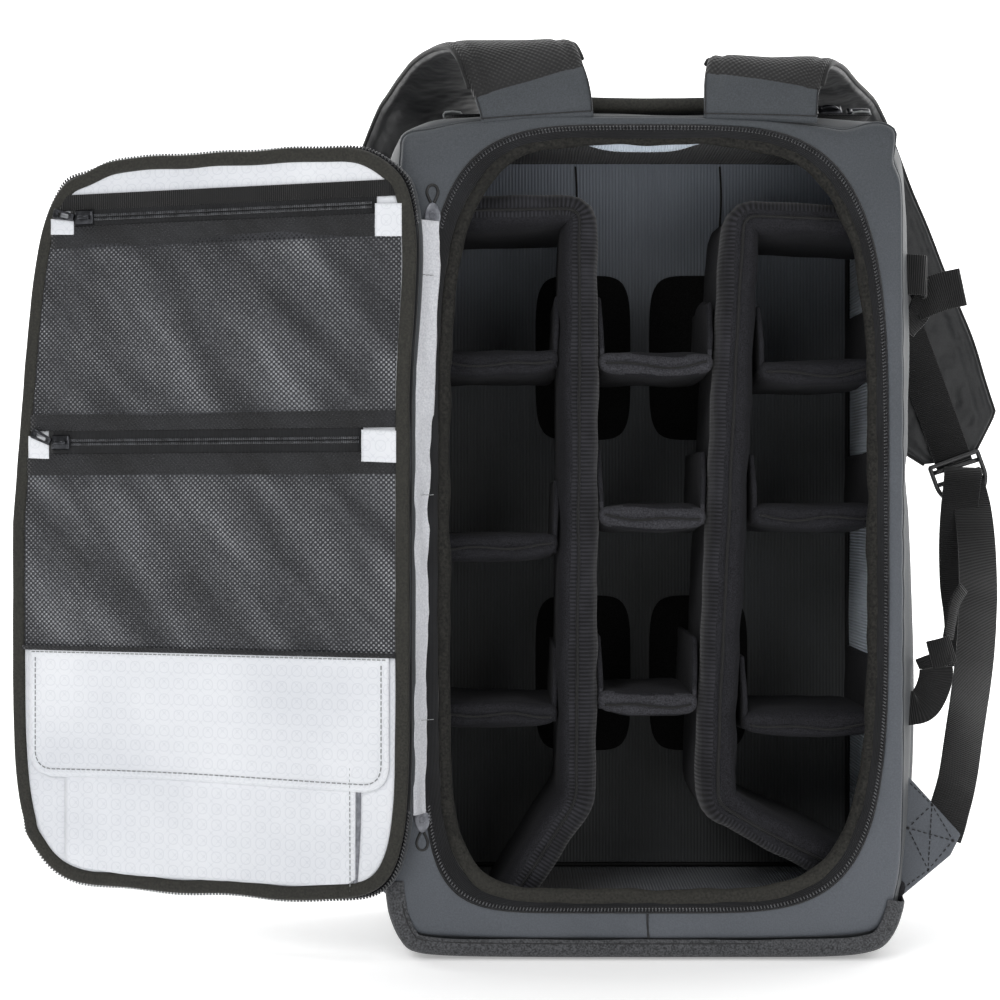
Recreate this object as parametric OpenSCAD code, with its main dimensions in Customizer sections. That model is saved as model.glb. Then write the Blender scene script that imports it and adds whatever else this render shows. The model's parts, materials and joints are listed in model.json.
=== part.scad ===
// Camera backpack with a rear access panel, shown standing on its base with the panel folded open.
// X is the width, Y the depth (the wearer's side is -Y), Z is up. Millimetres.

/* [Body] */
// Width of the bag across its side panels
body_w = 306; // [302:1:310]
// Height of the bag from its base to the top panel
body_h = 500; // [496:1:504]
// Depth from the base's centre to the wearer's side
near_d = 90; // [88:1:92]
// Depth from the base's centre to the outer side
far_d = 76; // [74:1:78]
// Thickness of the outer shell's laminated fabric
shell_t = 4; // [3.5:0.1:4.5]
// Radius of the outline's corners
corner_r = 28; // [26:1:30]
// Height of the reinforced base boot
boot_h = 45; // [40:1:50]
// Height of the boot's lip on the wearer's side
boot_lip = 13; // [11:1:14]

/* [Padding] */
// Thickness of the padded walls
wall_pad = 8; // [7:0.5:8.5]
// Height of the base padding's top face
base_pad_top = 30; // [28:1:31]
// Thickness of the padded compartment floor
floor_pad = 8; // [7:0.5:9]
// Thickness of the laptop sleeve's pad
sleeve_t = 11; // [9:0.5:11.5]

/* [Opening] */
// Half width of the zip line around the opening
zip_a = 136; // [134:1:137]
// Half height of the zip line around the opening
zip_b = 230; // [228:1:231]
// Width of the row of teeth
teeth_w = 3; // [2.5:0.1:3.5]
// Width of the zip tape with its teeth
tape_w = 7; // [6:0.5:7.5]
// Width of the padded binding inside the tape
binding_w = 7; // [6:0.5:8]

/* [Dividers] */
// Thickness of the two long dividers
long_t = 20; // [16:1:22]
// Thickness of the short dividers
short_t = 12; // [10:1:12]
// Height of a short divider's hook flaps
flap_h = 34; // [25:1:36]

/* [Lid] */
// Half width of the lid
lid_a = 130.75; // [129:0.25:131]
// Half height of the lid
lid_b = 221.5; // [220:0.5:222]
// Angle the lid is folded open from closed
open_angle = 198; // [185:1:198]
// Thickness of the ventilated pads on the lid's outer side
back_pad_t = 11; // [8:1:12]

/* [Straps] */
// Width of the shoulder straps
strap_w = 68; // [64:1:70]
// Thickness of the shoulder straps
strap_t = 11; // [10:0.5:12]
// Width of the adjustment webbing
web_w = 25; // [24:0.5:26]
// Thickness of the adjustment webbing
web_t = 1.8; // [1.6:0.1:2]

/* [Hidden] */

$fn = 48;
eps = 0.01;
gap = 0.3; // clearance between pieces that move past each other

// Depths of the main layers, from the wearer's side
near_y = -near_d;
far_y = far_d;
shell_y0 = near_y + shell_t;
shell_y1 = far_y - shell_t;
sleeve_y1 = shell_y1;
sleeve_y0 = sleeve_y1 - sleeve_t;
floor_y1 = sleeve_y0 - 0.5;
floor_y0 = floor_y1 - floor_pad;

// The shell's outline and the padded compartment
half_w = body_w / 2;
edge_round = 8;       // how far the shell pulls in at the near and far faces
edge_depth = 14;      // depth over which it pulls in
inner_w = half_w - shell_t;
room_w = inner_w - wall_pad;
room_top = body_h - shell_t - wall_pad;
top_z = body_h - corner_r;

// Zip line: an oval with straight sides, each corner with its own squareness
zip_cx = 4;
zip_cz = 258;
zip_power = [4.0, 4.5, 7.4, 4.6]; // top right, top left, bottom left, bottom right
outline_steps = 72;
ring_front = near_y - 1.5;        // nearest face of the teeth and binding
binding_y1 = near_y + 10;
hinge_cut = [90, 428];            // heights between which the hinge side has no teeth

// Dividers
div_y0 = near_y + 16;
div_y1 = floor_y0 - 3;
short_y0 = div_y0 + 6;
short_y1 = div_y1 - 2;
flap_t = 2.5;
wall_slack = 0.9;                 // room beside a short divider's ends
re_stick = 20;                    // how far a short divider may be moved up or down
left_line = [[-room_w - 8, 438], [-40, 440], [-41, 92], [-90, 20]];
right_line = [[room_w + 8, 432], [57, 436], [41, 90], [150, 32]];
rows_left = [352, 241, 141];
rows_middle = [351, 259, 148];
rows_right = [346, 259, 136];

// Lid, drawn closed and then turned open about its hinge
hinge_x = -134;
hinge_y = near_y - 12;
lid_cx = -1.25;
lid_cz = 255;
lid_power = [6.8, 9, 8.3, 6.3];
lid_taper = 0.15;
lid_face = near_y - 2;            // inner face when closed
lid_outer = lid_face - 15;
lid_rim = 9;                      // width of the binding round the inner face
liner_y1 = lid_face - 2.2;
liner_y0 = liner_y1 - 0.8;
pocket_y0 = liner_y1;
pocket_y1 = liner_y1 + 1.2;

// Heights of the lid's pockets
band_top = 454;
zip_hi = [435, 445];
mesh_hi = [311, 435];
zip_lo = [297, 311];
mesh_lo = [180, 297];
flap_z = [100, 180];
patch_hi = [424, 445];
patch_lo = [292, 309];
chain_x_hi = [-111, 88];
chain_x_lo = [-102.5, 103];
slider_x_hi = 78;
slider_x_lo = 94;
pull_tilt = 25;

// Top compartment zip
top_zip_x = [-116, 136];
top_zip_y = -45;
top_slider_x = 115;

// Main sliders at the two ends of the hinge
slider_top = [-126.5, 436];
slider_bottom = [-132.5, 81.5];
slider_nose = 3;
slider_face = near_y - 1.7;       // under the closed lid
slider_depth = 3.2;

// Shoulder straps: centre lines from the top seam over the top and down behind the bag
strap_right = [
    [65.5, -84, 500.2], [66, -84, 514], [70, -74, 526], [80, -48, 530], [99, 0, 530],
    [124, 62, 524], [149, 103, 490], [170, 114, 445], [198, 114, 372], [219, 114, 298]
];
strap_left = [
    [-63.5, -84, 500.2], [-64, -84, 520], [-68, -74, 535], [-79, -48, 541], [-101, 0, 538],
    [-130, 62, 524], [-149, 103, 490], [-170, 114, 445], [-198, 114, 372], [-219, 114, 298]
];
strap_lean = 20;                  // outward lean of the hanging stretch
strap_end = [219, 114, 298];

// Adjustment webbing from the wing's edge up to the ladder lock
web_right = [
    [183.2, -57.6, 82.5], [188.4, -50, 101], [197.6, -30, 132], [211, 12, 168],
    [219, 50, 203], [224, 80, 235], [226.6, 99, 266]
];
tail_right = [[232, 110, 281], [231, 112, 250], [230, 113, 200], [227, 112, 157]];
wing_y = -60;
wing_t = 3;

// ---------------------------------------------------------------- shared shapes

// An outline drawn in X and Z, extruded from y0 to y1
module slab(y0, y1) {
    translate([0, y1, 0]) rotate([90, 0, 0]) linear_extrude(y1 - y0) children();
}

// A rectangle with round corners, from [x0, z0] to [x1, z1]
module round_rect(x0, z0, x1, z1, r) {
    hull() {
        for (x = [x0 + r, x1 - r], z = [z0 + r, z1 - r]) translate([x, z]) circle(r);
    }
}

// The same outline made without a hull, for exact walls
module exact_rect(x0, z0, x1, z1, r) {
    translate([x0 + r, z0]) square([x1 - x0 - 2 * r, z1 - z0]);
    translate([x0, z0 + r]) square([x1 - x0, z1 - z0 - 2 * r]);
    for (x = [x0 + r, x1 - r], z = [z0 + r, z1 - r]) translate([x, z]) circle(r);
}

module plate(x, z) {
    translate([x[0], z[0]]) square([x[1] - x[0], z[1] - z[0]]);
}

function signed_pow(v, e) = sign(v) * pow(abs(v), e);

// A superellipse whose four corners each have their own power, and whose +X side may taper upwards
function oval(cx, cz, a, b, power, taper = 0) = [
    for (i = [0:outline_steps - 1])
        let (
            t = i * 360 / outline_steps,
            n = cos(t) >= 0 ? (sin(t) >= 0 ? power[0] : power[3]) : (sin(t) >= 0 ? power[1] : power[2]),
            x = signed_pow(cos(t), 2 / n),
            z = signed_pow(sin(t), 2 / n)
        )
        [cx + a * x * (x > 0 && z > 0 ? 1 - taper * z : 1), cz + b * z]
];

module zip_oval(inset) {
    polygon(oval(zip_cx, zip_cz, zip_a - inset, zip_b - inset, zip_power));
}

module zip_ring(d0, d1) {
    difference() {
        zip_oval(d0);
        zip_oval(d1);
    }
}

module lid_oval(inset) {
    polygon(oval(lid_cx, lid_cz, lid_a - inset, lid_b - inset, lid_power, lid_taper));
}

module lid_ring(d0, d1) {
    difference() {
        lid_oval(d0);
        lid_oval(d1);
    }
}

module folded_open() {
    translate([hinge_x, hinge_y, 0]) rotate([0, 0, -open_angle]) translate([-hinge_x, -hinge_y, 0])
        children();
}

// Strip of width t along a polyline, mitred at its bends
function turn_left(v) = [-v[1], v[0]];
function unit(v) = v / norm(v);
function mitre(p, i) =
    let (
        a = i > 0 ? unit(p[i] - p[i - 1]) : unit(p[1] - p[0]),
        b = i < len(p) - 1 ? unit(p[i + 1] - p[i]) : a,
        m = unit(turn_left(a) + turn_left(b))
    )
    m / (m * turn_left(a));
module strip(p, t) {
    polygon(concat(
        [for (i = [0:len(p) - 1]) p[i] + mitre(p, i) * t / 2],
        [for (i = [len(p) - 1:-1:0]) p[i] - mitre(p, i) * t / 2]
    ));
}

// Smooth curve through hand-placed points
function spline_at(p, i, t) =
    let (a = p[max(i - 1, 0)], b = p[i], c = p[i + 1], d = p[min(i + 2, len(p) - 1)])
    0.5 * (2 * b + (c - a) * t + (2 * a - 5 * b + 4 * c - d) * t * t + (3 * b - a - 3 * c + d) * t * t * t);
function spline(p, n) = concat(
    [for (i = [0:len(p) - 2], s = [0:n - 1]) spline_at(p, i, s / n)],
    [p[len(p) - 1]]
);

// Flat band of width w and thickness t swept along a curve; side[k] is its width direction
function section(w, t, c) = [
    [w / 2, c - t / 2], [w / 2, t / 2 - c], [w / 2 - c, t / 2], [c - w / 2, t / 2],
    [-w / 2, t / 2 - c], [-w / 2, c - t / 2], [c - w / 2, -t / 2], [w / 2 - c, -t / 2]
];
function band_ring(c, along, side, sec) =
    let (s = unit(side - (side * along) * along), n = cross(along, s))
    [for (q = sec) c + q[0] * s + q[1] * n];
module band(path, sides, w, t, c) {
    last = len(path) - 1;
    sec = section(w, t, c);
    k = len(sec);
    points = [
        for (i = [0:last])
            each band_ring(path[i], unit(path[min(i + 1, last)] - path[max(i - 1, 0)]), sides[i], sec)
    ];
    walls = [
        for (i = [0:last - 1], j = [0:k - 1])
            let (a = i * k + j, b = i * k + (j + 1) % k)
            each [[a, a + k, b + k], [a, b + k, b]]
    ];
    caps = [[for (j = [0:k - 1]) j], [for (j = [k - 1:-1:0]) last * k + j]];
    polyhedron(points, concat(walls, caps));
}

// ---------------------------------------------------------------- shell

module bag_solid() {
    hull() {
        slab(near_y, near_y + 1)
            round_rect(edge_round - half_w, 6, half_w - edge_round, body_h - 6, corner_r - 6);
        slab(near_y + edge_depth, far_y - edge_depth) round_rect(-half_w, 0, half_w, body_h, corner_r);
        slab(far_y - 1, far_y)
            round_rect(edge_round - half_w, 6, half_w - edge_round, body_h - 6, corner_r - 6);
    }
}

module inner_slab(y0, y1) {
    slab(y0, y1) exact_rect(-inner_w, shell_t, inner_w, body_h - shell_t, corner_r - shell_t);
}

module space(y, z, x = [-half_w - 1, half_w + 1]) {
    translate([x[0], y[0], z[0]]) cube([x[1] - x[0], y[1] - y[0], z[1] - z[0]]);
}

module back_frame() {
    color("#4e5358") difference() {
        intersection() {
            bag_solid();
            space([near_y - 1, shell_y0], [boot_lip, body_h]);
        }
        slab(near_y - 1, shell_y0 + 1) zip_oval(0);
        slider_cuts();
    }
}

module shell_part(z, x = [-half_w - 1, half_w + 1]) {
    difference() {
        intersection() {
            bag_solid();
            space([shell_y0, shell_y1], z, x);
        }
        inner_slab(shell_y0 - 1, shell_y1 + 1);
    }
}

module top_panel() {
    color("#565b60") shell_part([top_z, body_h + 1]);
}

module side_panel_left() {
    color("#565b60") shell_part([boot_h, top_z], [-half_w - 1, 0]);
}

module side_panel_right() {
    color("#565b60") shell_part([boot_h, top_z], [0, half_w + 1]);
}

module base_boot() {
    color("#3d4042") difference() {
        intersection() {
            bag_solid();
            space([near_y - 1, far_y + 1], [-1, boot_h]);
        }
        inner_slab(shell_y0, shell_y1);
        space([near_y - 2, shell_y0], [boot_lip, boot_h + 1]);
    }
}

module front_panel() {
    color("#565b60") intersection() {
        bag_solid();
        space([shell_y1, far_y + 1], [boot_h, body_h + 1]);
    }
}

// ---------------------------------------------------------------- padding and lining

module wall_padding(x) {
    color("#70767c") intersection() {
        inner_slab(shell_y0, floor_y0);
        space([shell_y0, floor_y0], [base_pad_top, room_top], x);
    }
}

module padding_left() {
    wall_padding([-inner_w - 1, -room_w]);
}

module padding_right() {
    wall_padding([room_w, inner_w + 1]);
}

module padding_ends() {
    color("#6a7076") for (z = [[0, base_pad_top], [room_top, body_h]]) intersection() {
        inner_slab(shell_y0, floor_y0);
        space([shell_y0, floor_y0], z);
    }
}

// The compartment's floor with the seam binding round its edge
module padding_floor() {
    seam_w = 3;
    color("#2a2c2e") {
        inner_slab(floor_y0, floor_y1);
        slab(floor_y0 - 2.5, floor_y0) difference() {
            plate([-room_w, room_w], [base_pad_top, room_top]);
            plate([seam_w - room_w, room_w - seam_w], [base_pad_top + seam_w, room_top - seam_w]);
        }
    }
}

module laptop_sleeve() {
    color("#26282a") slab(sleeve_y0, sleeve_y1)
        exact_rect(-140, shell_t + 4, 140, 470, 18);
}

module loop_patches() {
    color("#0c0c0c") for (x = [[-64, -2], [10, 74]], z = [[308, 415], [106, 207]])
        slab(floor_y0 - 0.8, floor_y0) exact_rect(x[0], z[0], x[1], z[1], 9);
}

module opening_binding() {
    color("#33332f") slab(ring_front, binding_y1) zip_ring(tape_w, tape_w + binding_w);
}

// Tape with a row of teeth on its outer edge; the hinge side has tape only
module main_zip() {
    color("#16161a") {
        difference() {
            slab(near_y - 0.5, near_y + 1.5) zip_ring(0, tape_w);
            slider_cuts();
        }
        difference() {
            slab(ring_front, near_y - 0.5) zip_ring(gap, teeth_w);
            slab(ring_front - 1, near_y) plate([-half_w, -110], hinge_cut);
            slider_cuts();
        }
    }
}

// ---------------------------------------------------------------- main sliders and pulls

// Shield-shaped slider with a round nose towards +Z, centred on its middle
module slider_outline(grow) {
    nose_z = 3.5;
    translate([0, nose_z]) circle(slider_nose + grow);
    translate([-4.7 - grow, -4.5 - grow]) square([9.4 + 2 * grow, 5.5 + 2 * grow]);
    polygon([[-4.7 - grow, 1], [4.7 + grow, 1], [2.8 + grow, nose_z + 1], [-2.8 - grow, nose_z + 1]]);
}

// Recesses that the two sliders sit in
module slider_cuts() {
    slab(near_y - 2, slider_face + slider_depth) {
        translate(slider_top) slider_outline(0.05);
        translate(slider_bottom) mirror([0, 1, 0]) slider_outline(0.05);
    }
}

module main_slider(at, up) {
    color("#8b8f94") slab(slider_face, slider_face + slider_depth)
        translate(at) mirror([0, up ? 0 : 1, 0]) slider_outline(0);
}

// Cord loop hanging from the slider's nose
module cord_pull(at, up) {
    nose_z = 3.5;
    stem = slider_nose + gap;
    color("#141416") slab(slider_face, slider_face + 1.4) translate(at) mirror([0, up ? 0 : 1, 0]) {
        difference() {
            translate([0, nose_z + stem + 5]) circle(4.2);
            translate([0, nose_z + stem + 5.4]) circle(2.4);
            translate([0, nose_z]) circle(stem);
        }
        difference() {
            translate([-1.5, nose_z + 1]) square([3, stem + 2]);
            translate([0, nose_z]) circle(stem);
        }
    }
}

module main_slider_top() {
    main_slider(slider_top, true);
}

module main_slider_bottom() {
    main_slider(slider_bottom, false);
}

module main_pull_top() {
    cord_pull(slider_top, true);
}

module main_pull_bottom() {
    cord_pull(slider_bottom, false);
}

// Light strip that joins the lid's edge to the opening on the hinge side
module hinge_gusset() {
    z0 = 92;
    z1 = 426;
    color("#c4c5cb") translate([0, 0, z0]) linear_extrude(z1 - z0) polygon([
        [-124.5, ring_front - 0.2], [-124.5, ring_front - 1.4], [-128, -94.6], [-133.8, -99.8],
        [-134.8, -98.8], [-129, -93], [-126.5, ring_front - 0.2]
    ]);
}

// ---------------------------------------------------------------- dividers

module long_divider(line) {
    color("#2e2f33") slab(div_y0, div_y1) strip(line, long_t);
}

module long_divider_left() {
    intersection() {
        long_divider(left_line);
        space([div_y0, div_y1], [base_pad_top, room_top], [-room_w, 0]);
    }
}

module long_divider_right() {
    intersection() {
        long_divider(right_line);
        space([div_y0, div_y1], [base_pad_top, room_top], [0, room_w]);
    }
}

function line_x(line, z) = line[2][0] + (line[1][0] - line[2][0]) * (z - line[2][1]) / (line[1][1] - line[2][1]);

// Padded slab between two walls, with a hook flap standing up at each end
module short_divider(x0, x1, z) {
    color("#232427") {
        slab(short_y0, short_y1) plate([x0, x1], [z - short_t / 2, z + short_t / 2]);
        slab(short_y0 + 8, short_y1) for (x = [[x0, x0 + flap_t], [x1 - flap_t, x1]])
            plate(x, [z, z + short_t / 2 + flap_h]);
    }
}

// A leaning long divider leaves least room above its right neighbour's top and below its left one's foot
function above(z) = z + short_t / 2 + flap_h + re_stick;
function below(z) = z - short_t / 2 - re_stick;

module divider_left(z) {
    short_divider(gap - room_w, line_x(left_line, below(z)) - long_t / 2 - wall_slack, z);
}

module divider_middle(z) {
    half = long_t / 2 + wall_slack;
    short_divider(line_x(left_line, above(z)) + half, line_x(right_line, below(z)) - half, z);
}

module divider_right(z) {
    short_divider(line_x(right_line, above(z)) + long_t / 2 + wall_slack, room_w - gap, z);
}

// ---------------------------------------------------------------- shoulder straps and webbing

strap_n = 3;
function strap_sides(p, n, lean) =
    [for (i = [0:(len(p) - 1) * n]) let (u = min(1, max(0, i / n - 3) / 3)) [cos(lean * u), 0, sin(lean * u)]];

module shoulder_strap(p, lean) {
    path = spline(p, strap_n);
    color("#2c2e30") band(path, strap_sides(p, strap_n, lean), strap_w, strap_t, 3);
}

module shoulder_strap_left() {
    shoulder_strap(strap_left, -strap_lean);
}

module shoulder_strap_right() {
    shoulder_strap(strap_right, strap_lean);
}

module both_sides() {
    children();
    mirror([1, 0, 0]) children();
}

// Frame at the right strap's lower end, with Z back up along the strap
module at_strap_end() {
    translate(strap_end) rotate([0, -strap_lean, 0]) children();
}

web_y = strap_end[1] - strap_t / 2 - web_t;

// Webbing sewn on the strap's lower stretch, ending at the ladder lock
module strap_webbing() {
    color("#121212") both_sides() translate([0, -strap_end[1], 0]) at_strap_end()
        translate([-web_w / 2, web_y, 2]) cube([web_w, web_t, 105]);
}

// Ladder lock: a plate with a round lower end and two webbing slots
module ladder_locks() {
    slot_w = 27;
    slot_h = 4.6;
    color("#2b2b2d") both_sides() translate([0, -strap_end[1], 0]) at_strap_end() translate([0, 0, -10])
        slab(web_y - 4.6, web_y - 0.2) difference() {
            union() {
                translate([-17, -4]) square([34, 17]);
                intersection() {
                    translate([0, -3]) circle(17);
                    translate([-17, -20]) square([34, 17]);
                }
            }
            translate([-slot_w / 2, 4]) square([slot_w, slot_h]);
            translate([-slot_w / 2, -7]) square([slot_w, slot_h]);
        }
}

function even_sides(p, n, s0, s1) =
    [for (i = [0:(len(p) - 1) * n]) let (u = i / ((len(p) - 1) * n)) s0 * (1 - u) + s1 * u];

module lower_webbing_right() {
    color("#141414") {
        band(spline(web_right, 4), even_sides(web_right, 4, [0.57, 0, -0.82], [1, 0, 0.1]), web_w, web_t, 0.5);
        band(spline(tail_right, 3), even_sides(tail_right, 3, [1, 0, 0.1], [1, 0, 0]), web_w, web_t, 0.5);
    }
}

module lower_webbing_left() {
    mirror([1, 0, 0]) lower_webbing_right();
}

// Triangular wings sewn into the side seams, holding the webbing's lower ends
module strap_wings() {
    color("#565b60") both_sides() slab(wing_y, wing_y + wing_t)
        polygon([[half_w, 113], [187.5, 66.6], [half_w, 37]]);
}

// ---------------------------------------------------------------- side straps and pocket

module side_strap_upper() {
    color("#1b1b1d") {
        translate([half_w, -62, 392]) cube([16, 1.8, 25]);
        translate([half_w + 14.2, -60.2, 392]) cube([1.8, 12, 25]);
        slab(-48.2, -46.4) polygon([[half_w + 10, 374], [193, 386], [192, 409], [half_w + 10, 398]]);
    }
}

module side_strap_lower() {
    color("#1b1b1d") {
        translate([half_w, -64, 132]) cube([10, 1.8, 25]);
        slab(-64, -62.2) polygon([[163, 132], [168, 142], [174, 165], [173, 178], [167, 176], [165, 158], [163, 157]]);
        slab(-62.2, -58) polygon([[168, 167], [182, 171], [183, 186], [175, 188], [168, 185]]);
        slab(-58, -50) polygon([[175, 185], [179, 185], [182, 205], [190, 216], [188, 219], [179, 208]]);
    }
}

// Stretch pocket low on the right side
module side_pocket_right() {
    cloth = 1.6;
    color("#5a5f65") difference() {
        slab(-56, 40) polygon([
            [half_w, 60], [159, 66], [162, 110], [162, 180], [160.5, 232], [half_w, 232]
        ]);
        slab(-56 + cloth, 40 - cloth) polygon([
            [half_w, 60 + cloth], [159 - cloth, 68], [162 - cloth, 110], [162 - cloth, 180],
            [160.5 - cloth, 233], [half_w, 233]
        ]);
    }
}

// ---------------------------------------------------------------- top compartment zip and grab handle

module top_zip() {
    tape_half = 11;
    color("#1a1a1c") {
        translate([top_zip_x[0], top_zip_y - tape_half, body_h])
            cube([top_zip_x[1] - top_zip_x[0], 2 * tape_half, 1]);
        translate([top_zip_x[0] + 10, top_zip_y - 2.2, body_h + 1])
            cube([top_zip_x[1] - top_zip_x[0] - 20, 4.4, 1.3]);
    }
    color("#7d8186") for (x = [top_zip_x[0], top_zip_x[1] - 9.5])
        translate([x, top_zip_y - 7, body_h + 1]) cube([9.5, 14, 2]);
}

top_slider_z = body_h + 2.3 + gap;

module top_slider() {
    color("#2a2a2c") translate([top_slider_x, top_zip_y, top_slider_z]) {
        translate([-6, -4.5, 0]) cube([12, 9, 2]);
        translate([-4, -1.5, 2]) cube([8, 3, 2.2]);
    }
}

// Pull that lies along the zip from the slider's end
module top_pull() {
    color("#2a2a2c") translate([top_slider_x + 6 + gap, top_zip_y, top_slider_z + 1]) difference() {
        translate([0.6, -3, 0]) cube([13, 6, 1.8]);
        translate([4, -1.4, -1]) cube([7, 2.8, 4]);
    }
}

// Padded grab handle lying behind the top seam, between and under the strap roots
module grab_handle() {
    handle_pts = [
        [-48, -66, 505.2], [-34, -61, 505.4], [-12, -57.5, 505.7],
        [12, -57.5, 505.7], [34, -61, 505.4], [48, -66, 505.2]
    ];
    path = spline(handle_pts, 4);
    color("#2b2c28") band(path, [for (q = path) [0, 1, 0]], 9, 9, 2.6);
}

// ---------------------------------------------------------------- lid

// Outer cover with a raised edge that carries the zip
module lid_cover() {
    color("#3a3d40") folded_open() {
        slab(lid_outer, lid_outer + 2) lid_oval(1);
        slab(lid_outer + 2, lid_face - 7) lid_ring(1, 3.5);
    }
}

module lid_foam() {
    color("#2a2a2a") folded_open() slab(lid_outer + 2, liner_y0) lid_oval(lid_rim + 0.2);
}

module lid_liner() {
    color("#dfe1e4") folded_open() slab(liner_y0, liner_y1) lid_oval(lid_rim);
}

module lid_binding() {
    color("#33332f") folded_open() slab(lid_face - 5, lid_face) lid_ring(1, lid_rim);
}

module lid_zip() {
    color("#16161a") folded_open() {
        slab(lid_face - 7, lid_face - 5) lid_ring(2.5, lid_rim);
        slab(lid_face - 7, lid_face - 5) difference() {
            lid_ring(0, 2.5);
            plate([-half_w, -110], hinge_cut);
        }
    }
}

// Ventilated pads on the wearer's side of the lid
module back_pads() {
    color("#1f2022") folded_open() slab(lid_outer - back_pad_t, lid_outer) {
        exact_rect(-100, 330, -6, 450, 18);
        exact_rect(6, 330, 96, 440, 18);
        exact_rect(-100, 200, -6, 318, 18);
        exact_rect(6, 200, 108, 318, 18);
        exact_rect(-100, 62, 112, 188, 22);
    }
}

module mesh_pocket(z) {
    color("#3c3d42") folded_open() slab(pocket_y0, pocket_y1) difference() {
        intersection() {
            lid_oval(lid_rim);
            plate([-half_w, half_w], z);
        }
        patch_cuts();
    }
}

// Places of the four end patches
module patch_cuts() {
    plate([-half_w, chain_x_hi[0]], patch_hi);
    plate([chain_x_hi[1], half_w], patch_hi);
    plate([-half_w, chain_x_lo[0]], patch_lo);
    plate([chain_x_lo[1], half_w], patch_lo);
}

module mesh_pocket_upper() {
    mesh_pocket(mesh_hi);
}

module mesh_pocket_lower() {
    mesh_pocket(mesh_lo);
}

// Webbing band, tapes and teeth of both pocket zips
module pocket_zips() {
    color("#1d1e22") folded_open() {
        slab(pocket_y0, pocket_y1) intersection() {
            lid_oval(lid_rim);
            plate([-half_w, half_w], [zip_hi[1], band_top]);
        }
        slab(pocket_y0, pocket_y1) plate(chain_x_hi, zip_hi);
        slab(pocket_y0, pocket_y1) plate(chain_x_lo, zip_lo);
        slab(pocket_y1, pocket_y1 + 0.7) plate([chain_x_hi[0] + 2, chain_x_hi[1] - 2], [438, 442]);
        slab(pocket_y1, pocket_y1 + 0.7) plate([chain_x_lo[0] + 2, chain_x_lo[1] - 2], [302, 306]);
    }
}

module zip_end_patches() {
    color("#dcdfe2") folded_open() slab(pocket_y0, pocket_y1) intersection() {
        lid_oval(lid_rim);
        patch_cuts();
    }
}

// Flat pocket at the foot of the lid
module sleeve_pocket() {
    color("#d8dbdf") folded_open() slab(pocket_y0, pocket_y1) intersection() {
        lid_oval(lid_rim + 1);
        plate([-98, 92], [30, flap_z[1]]);
    }
}

module pocket_flap() {
    color("#e4e6ea") folded_open() slab(pocket_y1 + gap, lid_face - 0.1) intersection() {
        lid_oval(lid_rim + 1);
        exact_rect(-119, flap_z[0], 116, flap_z[1] + 20, 16);
        plate([-half_w, half_w], [0, flap_z[1]]);
    }
}

pocket_slider_y0 = pocket_y1 + 0.7 + gap;

module pocket_slider(x, z) {
    color("#222224") folded_open() {
        slab(pocket_slider_y0, pocket_slider_y0 + 2) exact_rect(x - 6, z - 4.5, x + 6, z + 4.5, 2);
        slab(pocket_slider_y0 + 2, pocket_slider_y0 + 3.8) plate([x - 4, x + 4], [z - 1.5, z + 1.5]);
    }
}

// Pull with a slot, lying flat from the slider's end at an angle in the lid's plane
module pocket_pull(x, z, angle) {
    color("#2c2c2e") folded_open() slab(pocket_slider_y0 + 0.4, pocket_slider_y0 + 2)
        translate([x + 6 + gap, z]) rotate(angle) difference() {
            translate([2, -3]) square([12.6, 6]);
            translate([4.5, -1.4]) square([7, 2.8]);
        }
}

module pocket_slider_upper() {
    pocket_slider(slider_x_hi, 440);
}

module pocket_slider_lower() {
    pocket_slider(slider_x_lo, 304);
}

module pocket_pull_upper() {
    pocket_pull(slider_x_hi, 440, 0);
}

module pocket_pull_lower() {
    pocket_pull(slider_x_lo, 304, pull_tilt);
}

// ---------------------------------------------------------------- nodes

back_frame();
top_panel();
side_panel_left();
side_panel_right();
base_boot();
front_panel();
padding_left();
padding_right();
padding_ends();
padding_floor();
laptop_sleeve();
loop_patches();
opening_binding();
main_zip();
main_slider_top();
main_slider_bottom();
main_pull_top();
main_pull_bottom();
hinge_gusset();
long_divider_left();
long_divider_right();
for (i = [0:2]) {
    divider_left(rows_left[i]);
    divider_middle(rows_middle[i]);
    divider_right(rows_right[i]);
}
shoulder_strap_left();
shoulder_strap_right();
strap_webbing();
ladder_locks();
lower_webbing_left();
lower_webbing_right();
strap_wings();
side_strap_upper();
side_strap_lower();
side_pocket_right();
top_zip();
top_slider();
top_pull();
grab_handle();
lid_cover();
lid_foam();
lid_liner();
lid_binding();
lid_zip();
back_pads();
mesh_pocket_upper();
mesh_pocket_lower();
pocket_zips();
zip_end_patches();
sleeve_pocket();
pocket_flap();
pocket_slider_upper();
pocket_slider_lower();
pocket_pull_upper();
pocket_pull_lower();
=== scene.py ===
"""Camera backpack with its rear panel folded open.

Shapes are in millimetres in the CAD frame and are scaled to metres when a piece is made.
"""

import json
import math

import bmesh
import bpy
import numpy as np
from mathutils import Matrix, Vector, noise
from mathutils.kdtree import KDTree


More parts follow.
